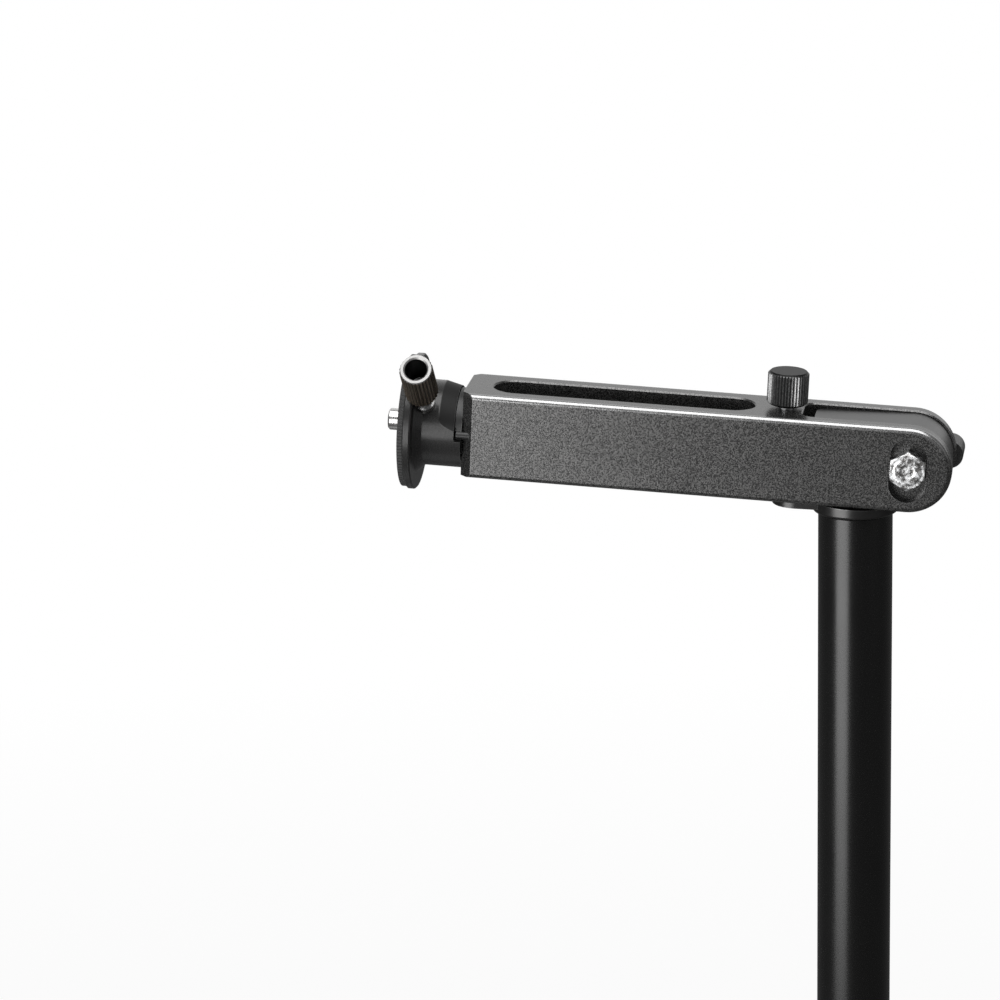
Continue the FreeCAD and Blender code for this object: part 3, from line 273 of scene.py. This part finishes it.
# %% [markdown]
# All recipes share a start: an empty material with one Principled shader, whose constant numbers
# are set on its own sockets. The shader stays in the material and only masks, colours and heights
# come from groups, because other programs can read a material that is built this way.

# %% Material helpers
def new_material(name, roughness, metallic=0.0, **constants):
    """A material with its tree and its Principled shader."""
    made = bpy.data.materials.new(name)
    made.use_nodes = True
    tree = made.node_tree
    shader = tree.nodes["Principled BSDF"]
    shader.inputs["Roughness"].default_value = roughness
    shader.inputs["Metallic"].default_value = metallic
    for key, value in constants.items():
        shader.inputs[key.replace("_", " ")].default_value = value
    return made, tree, shader


def use_group(tree, group, **values):
    """One of the shared effects in a material, with its own numbers."""
    made = tree.nodes.new("ShaderNodeGroup")
    made.node_tree = group
    for key, value in values.items():
        made.inputs[key].default_value = value
    return made


def bump(tree, shader, height, strength, distance):
    """Relief too fine to model: it tilts the normal as the height asks."""
    made = add_node(tree, "ShaderNodeBump", Strength=strength, Distance=distance)
    join(tree, height, made.inputs["Height"])
    join(tree, made.outputs["Normal"], shader.inputs["Normal"])


print("helpers:", new_material.__name__, use_group.__name__, bump.__name__)


# %% [markdown]
# Turned parts lie along slanted axes, and a pattern on plain coordinates would run across them. A
# Mapping node moves the coordinates to the part's axis and turns them, so that Z runs along it. The
# part itself is neither moved nor turned.

# %% Coordinates along an axis
def along(tree, spot, line):
    """Object coordinates moved to a spot and turned so that a line through it is their Z."""
    place = tree.nodes.new("ShaderNodeTexCoord")
    turned = Vector(line).to_track_quat("Z", "Y").to_matrix()
    shifted = add_node(tree, "ShaderNodeMapping", vector_type="TEXTURE")
    shifted.inputs["Location"].default_value = spot
    shifted.inputs["Rotation"].default_value = turned.to_euler()
    join(tree, place.outputs["Object"], shifted.inputs["Vector"])
    return shifted.outputs["Vector"]


def split_along(tree, spot, line):
    """A node with the X, Y and Z of the coordinates along an axis."""
    split = add_node(tree, "ShaderNodeSeparateXYZ")
    join(tree, along(tree, spot, line), split.inputs[0])
    return split


print("helpers:", along.__name__, split_along.__name__)


# %% [markdown]
# ## The coated parts
#
# The arm is a milled alloy bar under a charcoal coat with a fine, slightly sparkling grain. The
# bracket and the hub have the same colour but are smooth. The tubes are black and glossier, and
# show one long upright highlight. A single colour would look like paper, so one recipe gives all of
# them grain in their colour, in their gloss and in their surface, and paler worn edges.

# %% Recipe for a coat
GLOSS_CHANGE = 0.05


def coat(name, base, roughness, grain_size, grain_depth, patches, wear, wear_colour, bump_depth,
         zone=None, zone_colour=None, zone_change=0.0, **constants):
    """A coated metal: grain in its colour and surface, and paler worn edges.

    zone is a function that adds a mask to the tree. Where the mask is 1, zone_colour shows and the
    roughness changes by zone_change."""
    made, tree, shader = new_material(name, roughness, **constants)
    grain = use_group(tree, grain_tree, Size=grain_size, Depth=grain_depth, Patches=patches)
    tone = blend_colours(tree, grain.outputs["Value"], grey(base * 0.55), grey(base * 1.45, 0.01))
    dull = spread(tree, grain.outputs["Value"], 0.2, 0.8, roughness - GLOSS_CHANGE, roughness + GLOSS_CHANGE)
    if zone is not None:
        mask = zone(tree)
        tone = blend_colours(tree, mask, tone, zone_colour)
        dull = math_node(tree, "ADD", dull, product(tree, mask, zone_change))
    rub = use_group(tree, wear_tree, Amount=wear)
    join(tree, blend_colours(tree, rub.outputs["Mask"], tone, wear_colour), shader.inputs["Base Color"])
    join(tree, dull, shader.inputs["Roughness"])
    bump(tree, shader, grain.outputs["Height"], 0.6, bump_depth)
    return made


print("recipe:", coat.__name__)


# %% [markdown]
# The two rounded upper edges of the arm get a painted highlight over their whole width: a pale
# colour that stands in for the bright line of the overhead lamp. The edge wear group would only draw
# a broken line there. So this zone follows the shape of the bar: it is 25 mm square with 1.4 mm
# rounds, and across it the two distances from its middle add up to more than 23.6 mm only on a
# round. Past the pivot, where the end of the arm is a half circle, the second distance is the one
# from the pivot.

# %% Zone of the painted highlight on the upper edges
ROUND_START = 23.45 * MM
ROUND_FULL = 23.68 * MM
UPPER_START = 4.0 * MM
UPPER_FULL = 11.0 * MM


def painted_edge_highlight(tree):
    """1 on the rounded upper edges of the arm, where a highlight is painted."""
    split = split_along(tree, pivot, arm_line)
    past = math_node(tree, "MAXIMUM", split.outputs["Z"], 0.0)
    rise = math_node(tree, "MAXIMUM", split.outputs["Y"], 0.0)
    squares = math_node(tree, "ADD", product(tree, past, past), product(tree, rise, rise))
    outward = math_node(tree, "SQRT", squares, 0.0)
    both = math_node(tree, "ADD", math_node(tree, "ABSOLUTE", split.outputs["X"], 0.0), outward)
    high = spread(tree, split.outputs["Y"], UPPER_START, UPPER_FULL)
    return product(tree, spread(tree, both, ROUND_START, ROUND_FULL), high)


# The pale zone colour grey(0.30) on the arm's upper edges is a painted highlight.
arm_coat = coat("charcoal grained coat", base=0.085, roughness=0.28,
                grain_size=0.42, grain_depth=4.6, patches=0.3,
                wear=0.45, wear_colour=grey(0.45), bump_depth=0.03 * MM,
                zone=painted_edge_highlight, zone_colour=grey(0.30), zone_change=-0.04, metallic=0.85)
print("made:", arm_coat.name)


# %% [markdown]
# The hub is turned from the same alloy, and one side of it has a tapered relief that light hardly
# reaches. There its colour is painted nearly black, as painted shade. The relief lies deeper than
# the rest of the barrel, so its zone is everything that is nearer to the axis than the barrel's own
# 12.5 mm.

# %% Painted shade in the hub's relief
BARREL_RADIUS = 12.47 * MM
RELIEF_RADIUS = 12.40 * MM
RELIEF_SHARE = 0.9


def relief_painted_shade(tree):
    """Nearly 1 in the tapered relief of the hub, where shade is painted."""
    split = split_along(tree, pivot, arm_line)
    flat = add_node(tree, "ShaderNodeCombineXYZ")
    join(tree, split.outputs["X"], flat.inputs["X"])
    join(tree, split.outputs["Y"], flat.inputs["Y"])
    radius = add_node(tree, "ShaderNodeVectorMath", operation="LENGTH")
    join(tree, flat.outputs[0], radius.inputs[0])
    return spread(tree, radius.outputs["Value"], BARREL_RADIUS, RELIEF_RADIUS, 0.0, RELIEF_SHARE)


# The near-black zone colour grey(0.003) in the relief is painted shade.
hub_coat = coat("charcoal satin coat", base=0.035, roughness=0.28,
                grain_size=0.2, grain_depth=0.5, patches=0.3,
                wear=0.2, wear_colour=grey(0.3), bump_depth=0.008 * MM,
                zone=relief_painted_shade, zone_colour=grey(0.003), zone_change=0.35, metallic=0.6)
print("made:", hub_coat.name)

# %% [markdown]
# The other coats need no zone. The bracket is smooth, the tubes are nearly black with a clear
# reflection, and the socket and the collar are castings under enamel, whose skin is coarser. The
# small black screws are oxidised steel, and the thin disc behind the hub is blacker still.

# %% The other coats
plate_coat = coat("charcoal smooth coat", base=0.04, roughness=0.30,
                  grain_size=0.25, grain_depth=0.6, patches=0.3,
                  wear=0.3, wear_colour=grey(0.4), bump_depth=0.01 * MM, metallic=0.85)
tube_coat = coat("black gloss coat", base=0.003, roughness=0.27,
                 grain_size=0.5, grain_depth=0.4, patches=0.4,
                 wear=0.12, wear_colour=grey(0.12), bump_depth=0.004 * MM, Specular_IOR_Level=0.38)
cast_coat = coat("black enamel on a casting", base=0.012, roughness=0.42,
                 grain_size=1.1, grain_depth=0.6, patches=0.4,
                 wear=0.3, wear_colour=grey(0.15), bump_depth=0.05 * MM)
black_steel = coat("black oxide", base=0.015, roughness=0.38,
                   grain_size=0.3, grain_depth=0.6, patches=0.3,
                   wear=0.5, wear_colour=grey(0.35), bump_depth=0.01 * MM)
disc_black = coat("black disc", base=0.004, roughness=0.4,
                  grain_size=0.3, grain_depth=0.6, patches=0.3,
                  wear=0.25, wear_colour=grey(0.3), bump_depth=0.01 * MM)
for made in (plate_coat, tube_coat, cast_coat, black_steel, disc_black):
    print("made:", made.name)


# %% [markdown]
# ## Bare metal
#
# Zinc plate is mottled and soft, nickel is bright with turning marks, and brass is turned too. All
# are metals in the shader, so their colour is that of their reflection. What tells them apart is
# how the roughness varies: in patches on plate, and in rings on turned metal. One recipe makes both,
# and an axis given to it chooses the rings.

# %% Recipe for bare metal
def plated(name, base, roughness, mottle, spot=None, line=None):
    """Plated or bare metal; with a spot and a line it also has turning marks about them."""
    made, tree, shader = new_material(name, roughness, metallic=1.0)
    grain = use_group(tree, grain_tree, Size=0.9, Depth=mottle, Patches=mottle)
    tone = blend_colours(tree, grain.outputs["Value"], scaled(base, 0.62), scaled(base, 1.2))
    join(tree, tone, shader.inputs["Base Color"])
    if line is None:
        patchy = spread(tree, grain.outputs["Value"], 0.2, 0.8, roughness - 0.1, roughness + 0.12)
        join(tree, patchy, shader.inputs["Roughness"])
        bump(tree, shader, grain.outputs["Height"], 0.5, 0.06 * MM)
        return made
    marks = use_group(tree, turn_tree, Pitch=0.3)
    join(tree, along(tree, spot, line), marks.inputs["Place"])
    ringed = spread(tree, marks.outputs["Value"], 0.3, 0.7, roughness - 0.06, roughness + 0.1)
    join(tree, ringed, shader.inputs["Roughness"])
    bump(tree, shader, marks.outputs["Value"], 0.35, 0.01 * MM)
    return made


BRASS = (0.72, 0.52, 0.22, 1.0)
NICKEL = grey(0.7, 0.01)
zinc = plated("zinc plate", grey(0.62, -0.01), roughness=0.4, mottle=3.0)
nickel = plated("turned nickel", NICKEL, 0.22, 0.3, pivot, arm_line)
thumb_nickel = plated("turned nickel collar", NICKEL, 0.22, 0.3, thumb_spot, thumb_line)
wing_brass = plated("turned brass", BRASS, 0.28, 0.3, wing_spot, BOLT_LINE)
collar_brass = plated("turned brass insert", BRASS, 0.28, 0.3, collar_spot, COLLAR_LINE)
for made in (zinc, nickel, thumb_nickel, wing_brass, collar_brass):
    print("made:", made.name)


# %% [markdown]
# The pivot bolt is the one bright spot on the stand. Its head was forged, so its face isn't flat:
# it has a shallow dish in the middle, a raised ring round that, and stained, uneven plate. The dish
# is only a tenth of a millimetre deep, which is too fine for the mesh, so a bump node makes it from
# the distance to the bolt's axis.

# %% Forged bolt head
DISH_RADIUS = 1.6 * MM
RING_START = 2.3 * MM
RING_END = 3.6 * MM
RIM_START = 4.2 * MM
STAINED = grey(0.22, 0.03)
CLEAN = grey(0.80, -0.01)


def forged_head(name, spot, line):
    """Zinc plate on a forged bolt: a shallow dish in the middle, a ring round it, and stains."""
    made, tree, shader = new_material(name, 0.38, metallic=1.0)
    marks = use_group(tree, turn_tree, Pitch=0.4)
    join(tree, along(tree, spot, line), marks.inputs["Place"])
    grain = use_group(tree, grain_tree, Size=1.3, Depth=4.0, Patches=1.0)
    outside_dish = spread(tree, marks.outputs["Radius"], DISH_RADIUS, RING_START)
    inside_rim = spread(tree, marks.outputs["Radius"], RING_END, RIM_START, 1.0, 0.0)
    ring = product(tree, outside_dish, inside_rim)
    join(tree, blend_colours(tree, grain.outputs["Value"], STAINED, CLEAN), shader.inputs["Base Color"])
    join(tree, spread(tree, grain.outputs["Value"], 0.2, 0.8, 0.28, 0.48), shader.inputs["Roughness"])
    uneven = product(tree, grain.outputs["Height"], 1.2)
    bump(tree, shader, math_node(tree, "ADD", ring, uneven), 0.9, 0.12 * MM)
    return made


bolt_zinc = forged_head("forged zinc head", pivot, BOLT_LINE)
print("made:", bolt_zinc.name)


# %% [markdown]
# ## The knurled knobs
#
# Both knobs are blackened and cut with straight flutes, which the CAD model already has. Use
# polishes the tips of the flutes while the roots stay black. The edge wear group could find the
# tips, but it would also find the edges of both ends. The distance from the knob's axis tells tip
# from root more surely, and the thumb knob's turned end ring is the last stretch along that axis.

# %% Recipe for a knurl
BORE_EDGE = 3.1 * MM
RING_EDGE = 3.3 * MM
RING_FADE = 0.2 * MM
FLUTE_ROOT = grey(0.004)
RING_METAL = grey(0.28, 0.01)


def knurl(name, spot, line, root, tip, crest_colour, ring=None):
    """Blackened metal whose teeth are pale at their tips; root and tip are radii in metres.

    ring is where along the axis, from the spot, the bright end ring starts."""
    made, tree, shader = new_material(name, 0.3, metallic=0.8)
    marks = use_group(tree, turn_tree, Pitch=0.5)
    place = along(tree, spot, line)
    join(tree, place, marks.inputs["Place"])
    grain = use_group(tree, grain_tree, Size=0.35, Depth=2.0, Patches=0.8)
    crest = spread(tree, marks.outputs["Radius"], root, tip)
    rubbed = product(tree, crest, spread(tree, grain.outputs["Value"], 0.25, 0.75, 0.4, 1.0))
    tone = blend_colours(tree, rubbed, FLUTE_ROOT, crest_colour)
    if ring is not None:
        split = add_node(tree, "ShaderNodeSeparateXYZ")
        join(tree, place, split.inputs[0])
        turned = spread(tree, split.outputs["Z"], ring, ring + RING_FADE)
        outside = spread(tree, marks.outputs["Radius"], BORE_EDGE, RING_EDGE)
        tone = blend_colours(tree, product(tree, turned, outside), tone, RING_METAL)
    join(tree, tone, shader.inputs["Base Color"])
    join(tree, spread(tree, crest, 0.0, 1.0, 0.45, 0.24), shader.inputs["Roughness"])
    bump(tree, shader, grain.outputs["Height"], 0.4, 0.02 * MM)
    return made


thumb_corners = [vertex.co for vertex in nodes["thumb_knob"].data.vertices]
thumb_far = max((corner - thumb_spot).dot(thumb_line) for corner in thumb_corners)
level_knurl = knurl("knurl of the levelling knob", level_spot, level_line,
                    root=5.5 * MM, tip=5.9 * MM, crest_colour=grey(0.24))
thumb_knurl = knurl("knurl of the thumb knob", thumb_spot, thumb_line,
                    root=4.3 * MM, tip=4.8 * MM, crest_colour=(0.20, 0.16, 0.12, 1.0),
                    ring=thumb_far - 0.6 * MM)
print("the thumb knob ends %.2f mm past the joint's place" % (thumb_far / MM))


# %% [markdown]
# ## Plastic, nylon and rubber
#
# The wing knobs are moulded with a light texture, the bush and the small pads are natural nylon
# that lets a little light in, and the feet are dull, slightly dusty rubber. None of them is a metal
# or wears pale at its edges, so the recipe is the grain alone, coarser or finer. The light inside
# nylon is the shader's own subsurface setting, which costs no node.

# %% Soft materials
def moulded(name, colour, roughness, grain_size, grain_depth, patches, bump_depth, **constants):
    """A moulded material: grain in its colour, gloss and surface."""
    made, tree, shader = new_material(name, roughness, **constants)
    grain = use_group(tree, grain_tree, Size=grain_size, Depth=grain_depth, Patches=patches)
    tone = blend_colours(tree, grain.outputs["Value"], scaled(colour, 0.75), scaled(colour, 1.25))
    join(tree, tone, shader.inputs["Base Color"])
    join(tree, spread(tree, grain.outputs["Value"], 0.2, 0.8, roughness - 0.07, roughness + 0.07),
         shader.inputs["Roughness"])
    bump(tree, shader, grain.outputs["Height"], 0.7, bump_depth)
    return made


wing_plastic = moulded("moulded black", grey(0.022), roughness=0.42,
                       grain_size=0.5, grain_depth=0.8, patches=0.4, bump_depth=0.06 * MM)
nylon = moulded("natural nylon", (0.78, 0.76, 0.68, 1.0), roughness=0.5,
                grain_size=0.8, grain_depth=0.3, patches=0.3, bump_depth=0.02 * MM,
                Subsurface_Weight=0.2, Subsurface_Scale=0.003)
rubber = moulded("black rubber", grey(0.02), roughness=0.8,
                 grain_size=0.3, grain_depth=1.0, patches=0.7, bump_depth=0.08 * MM)
for made in (wing_plastic, nylon, rubber):
    print("made:", made.name)


# %% [markdown]
# The pad on the flange is rubber with fine parallel ribs, so that the load doesn't slip round. The
# ribs could be modelled, but they are a millimetre apart and hardly show past the flange's edge.
# A wave texture drives a bump instead, turned with the arm.

# %% Ribbed pad
RIB_SCALE = 320.0


def ribbed(name, spot, line):
    """Black rubber with fine parallel ribs across a line."""
    made, tree, shader = new_material(name, 0.72)
    ribs = add_node(tree, "ShaderNodeTexWave", wave_type="BANDS", bands_direction="Y", Scale=RIB_SCALE)
    join(tree, along(tree, spot, line), ribs.inputs["Vector"])
    grain = use_group(tree, grain_tree, Size=0.3, Depth=1.0, Patches=0.5)
    tone = blend_colours(tree, grain.outputs["Value"], grey(0.012), grey(0.035))
    join(tree, tone, shader.inputs["Base Color"])
    bump(tree, shader, ribs.outputs["Fac"], 0.9, 0.3 * MM)
    return made


pad_rubber = ribbed("ribbed rubber", pivot, arm_line)
print("made:", pad_rubber.name)

# %% [markdown]
# ## The board
#
# The base board is a grey laminate on a wood core. Its face is plain with a very fine fleck, so that
# it doesn't draw the eye from the page, and a darker strip of edging runs round it under the bevel.
# One material covers both: the true normal is level on the face and upright on the edge, and that
# alone tells them apart.

# %% Laminate
FACE_LEVEL = 0.35
EDGE_LEVEL = 0.25

laminate, board_tree, board_shader = new_material("grey laminate board", 0.5)
board_grain = use_group(board_tree, grain_tree, Size=0.6, Depth=0.9, Patches=0.35)
face_tone = blend_colours(board_tree, board_grain.outputs["Value"], grey(0.30), grey(0.42, -0.01))
board_face = add_node(board_tree, "ShaderNodeNewGeometry")
board_split = add_node(board_tree, "ShaderNodeSeparateXYZ")
join(board_tree, board_face.outputs["Normal"], board_split.inputs[0])
board_level = math_node(board_tree, "ABSOLUTE", board_split.outputs["Z"], 0.0)
edging = spread(board_tree, board_level, FACE_LEVEL, EDGE_LEVEL)
board_tone = blend_colours(board_tree, edging, face_tone, grey(0.03))
join(board_tree, board_tone, board_shader.inputs["Base Color"])
bump(board_tree, board_shader, board_grain.outputs["Height"], 0.4, 0.05 * MM)
print("made:", laminate.name)

# %% [markdown]
# ## Giving the finishes out
#
# Each node takes one finish. The list runs from the board up to the head, grouped by finish, so that
# a missing or doubled node is easy to see, and the print below names any that was forgotten.

# %% Finishes of the CAD nodes
FINISHES = [
    (laminate, ["base_board"]),
    (rubber, ["rubber_feet"]),
    (cast_coat, ["column_socket", "clamp_collar"]),
    (tube_coat, ["lower_tube", "column_tube"]),
    (plate_coat, ["column_top_plug", "tilt_bracket"]),
    (arm_coat, ["arm_bar"]),
    (hub_coat, ["head_hub"]),
    (disc_black, ["stop_disc", "stop_pin"]),
    (black_steel, ["socket_bolts", "socket_grub_screws", "head_screw"]),
    (zinc, ["foot_screws", "collar_screw", "collar_washer", "bracket_stud", "pivot_washer",
            "level_screw", "saddle_washer", "thumb_screw"]),
    (bolt_zinc, ["pivot_bolt"]),
    (nickel, ["head_spindle", "camera_screw"]),
    (thumb_nickel, ["thumb_collar"]),
    (wing_brass, ["pivot_knob_insert"]),
    (collar_brass, ["collar_knob_insert"]),
    (level_knurl, ["level_knob"]),
    (thumb_knurl, ["thumb_knob"]),
    (wing_plastic, ["collar_knob", "pivot_knob"]),
    (nylon, ["collar_bush", "column_guide_plug", "friction_washers", "level_pad", "brake_tip"]),
    (pad_rubber, ["camera_pad"]),
]
finished = set()
for finish, names in FINISHES:
    for name in names:
        nodes[name].data.materials.clear()
        nodes[name].data.materials.append(finish)
        finished.add(name)
print("finishes:", len(FINISHES), "on", len(finished), "nodes")
print("nodes without a finish:", sorted(set(nodes) - finished))

# %% [markdown]
# ## Floor, lamps and world
#
# The floor is a pale sheet that keeps the stand's shadow. Its colour alone would come out grey in
# the picture. So a part of what is seen of it directly is a plain glow of strength 1, which is
# white, and that part grows with the distance from the stand. In mirrored and see-through light the
# glow is dim, because a bright floor would wash the black tubes out.

# %% Floor
FLOOR_RADIUS = 30.0
FLOOR_DROP = 0.5 * MM
GLOW_NEAR = 0.6
GLOW_FAR = 1.6
GLOW_SHARE = 0.88
MIRRORED_GLOW = 0.12

bpy.ops.object.select_all(action="DESELECT")
bpy.ops.mesh.primitive_circle_add(vertices=96, radius=FLOOR_RADIUS, fill_type="NGON",
                                  location=(0, 0, -FLOOR_DROP))
floor = bpy.context.object
floor.name = "floor"
floor_paint, floor_tree, floor_shader = new_material("pale floor", 0.9, Specular_IOR_Level=0.1)
floor_shader.inputs["Base Color"].default_value = grey(0.8)
ray = add_node(floor_tree, "ShaderNodeLightPath")
floor_place = add_node(floor_tree, "ShaderNodeTexCoord")
floor_far = add_node(floor_tree, "ShaderNodeVectorMath", operation="LENGTH")
join(floor_tree, floor_place.outputs["Object"], floor_far.inputs[0])
share = spread(floor_tree, floor_far.outputs["Value"], GLOW_NEAR, GLOW_FAR, GLOW_SHARE, 1.0)
mirrored = math_node(floor_tree, "MAXIMUM", ray.outputs["Is Glossy Ray"], ray.outputs["Is Transmission Ray"])
seen = product(floor_tree, ray.outputs["Is Camera Ray"], share)
shown = math_node(floor_tree, "MAXIMUM", seen, mirrored)
glow = add_node(floor_tree, "ShaderNodeEmission")
join(floor_tree, spread(floor_tree, mirrored, 0.0, 1.0, 1.0, MIRRORED_GLOW), glow.inputs["Strength"])
floor_mix = add_node(floor_tree, "ShaderNodeMixShader")
join(floor_tree, shown, floor_mix.inputs[0])
join(floor_tree, floor_shader.outputs[0], floor_mix.inputs[1])
join(floor_tree, glow.outputs[0], floor_mix.inputs[2])
join(floor_tree, floor_mix.outputs[0], floor_tree.nodes["Material Output"].inputs["Surface"])
floor.data.materials.append(floor_paint)
print("floor: %.1f mm under the feet" % (FLOOR_DROP / MM))

# %% [markdown]
# The world is all that surrounds the stand. Seen directly it is white, and as plain light it is
# weak, so that the lamps draw the forms. Metal mirrors it, and a mirror of pure white would make the black
# parts grey. So in mirrored light the world is dark on the user's side and bright behind the stand,
# as in a studio with a white wall behind the table and a dark one in front.

# %% World
DARK_SIDE = 0.12
BRIGHT_SIDE = 0.95
PLAIN_LIGHT = 0.25

world = bpy.data.worlds.new("studio")
bpy.context.scene.world = world
world.use_nodes = True
world_tree = world.node_tree
world_ray = add_node(world_tree, "ShaderNodeLightPath")
world_plain = world_tree.nodes["Background"]
world_plain.inputs["Color"].default_value = grey(1.0)
world_mirrored = math_node(world_tree, "MAXIMUM", world_ray.outputs["Is Glossy Ray"],
                           world_ray.outputs["Is Transmission Ray"])
world_shown = math_node(world_tree, "MAXIMUM", world_ray.outputs["Is Camera Ray"], world_mirrored)
world_place = add_node(world_tree, "ShaderNodeTexCoord")
world_split = add_node(world_tree, "ShaderNodeSeparateXYZ")
join(world_tree, world_place.outputs["Generated"], world_split.inputs[0])
backdrop = spread(world_tree, world_split.outputs["Y"], 0.2, 0.8, DARK_SIDE, BRIGHT_SIDE)
white = math_node(world_tree, "MAXIMUM", world_ray.outputs["Is Camera Ray"],
                  product(world_tree, world_shown, backdrop))
unseen = product(world_tree, math_node(world_tree, "SUBTRACT", 1.0, world_shown), PLAIN_LIGHT)
join(world_tree, math_node(world_tree, "MAXIMUM", white, unseen), world_plain.inputs["Strength"])
print("world:", len(world_tree.nodes), "nodes")


# %% [markdown]
# Three soft boxes light the stand. A wide one overhead draws the bright line along the arm's upper
# edge, a tall one at the front left draws the long highlight on the tubes, and a weak one at the
# right opens the shadows. Area lamps are used, because a highlight on a glossy tube is the mirror
# image of the lamp, and its width and height have to be those of a real soft box.

# %% Lamps
def soft_box(name, place, aim_height, width, height, watts):
    """A rectangular lamp that looks at the stand at a height."""
    light = bpy.data.lights.new(name, "AREA")
    light.shape = "RECTANGLE"
    light.size = width
    light.size_y = height
    light.energy = watts
    lamp = bpy.data.objects.new(name, light)
    bpy.context.scene.collection.objects.link(lamp)
    aim = Vector((column.x - 50.0 * MM, 0.0, aim_height))
    lamp.location = place
    lamp.rotation_euler = (aim - Vector(place)).to_track_quat("-Z", "Y").to_euler()
    print("lamp %s: %.1f W, %.2f m from the stand" % (name, watts, (aim - Vector(place)).length))


soft_box("overhead", (0.10, -0.32, 1.48), 0.6, width=1.0, height=1.0, watts=13.0)
soft_box("front left", (-0.58, -0.98, 0.43), 0.43, width=0.85, height=0.84, watts=15.0)
soft_box("right fill", (1.5, -0.6, 0.9), 0.5, width=1.0, height=1.2, watts=1.5)

# %% [markdown]
# ## The view
#
# The view is from a little to the right of the arm and 16 degrees above it, from 1.35 m away with a
# long focal length, so that the lines of the arm hardly run together. The angles were fitted to the
# edges of the arm. The focal length is given as a multiple of the sensor's width, because only
# their ratio shapes the picture.

# %% Camera
YAW = math.radians(9.1066)
PITCH = math.radians(16.1453)
ROLL = math.radians(-1.0323)
DISTANCE = 1.3469
SENSOR = 36.0
FOCAL_RATIO = 4.6214
AIM_FROM_PIVOT = Vector((-119.376, 0.0, -15.357)) * MM

target = pivot + AIM_FROM_PIVOT
forward = Vector((-math.sin(YAW) * math.cos(PITCH), math.cos(YAW) * math.cos(PITCH), -math.sin(PITCH)))
level_right = forward.cross(Vector((0, 0, 1))).normalized()
level_up = level_right.cross(forward)
right = math.cos(ROLL) * level_right + math.sin(ROLL) * level_up
up = math.cos(ROLL) * level_up - math.sin(ROLL) * level_right
view_data = bpy.data.cameras.new("view")
view_data.sensor_width = SENSOR
view_data.lens = SENSOR * FOCAL_RATIO
view_data.clip_start = 50.0 * MM
view = bpy.data.objects.new("view", view_data)
bpy.context.scene.collection.objects.link(view)
turned = Matrix((right, up, -forward)).transposed().to_4x4()
view.matrix_world = Matrix.Translation(target - DISTANCE * forward) @ turned
bpy.context.scene.camera = view
bpy.context.scene.view_settings.view_transform = "Standard"
print("focal length %.1f mm" % view_data.lens)

# %% [markdown]
# ## Last step
#
# Last, the view layer is brought up to date.

# %% Bring the view layer up to date
bpy.context.view_layer.update()
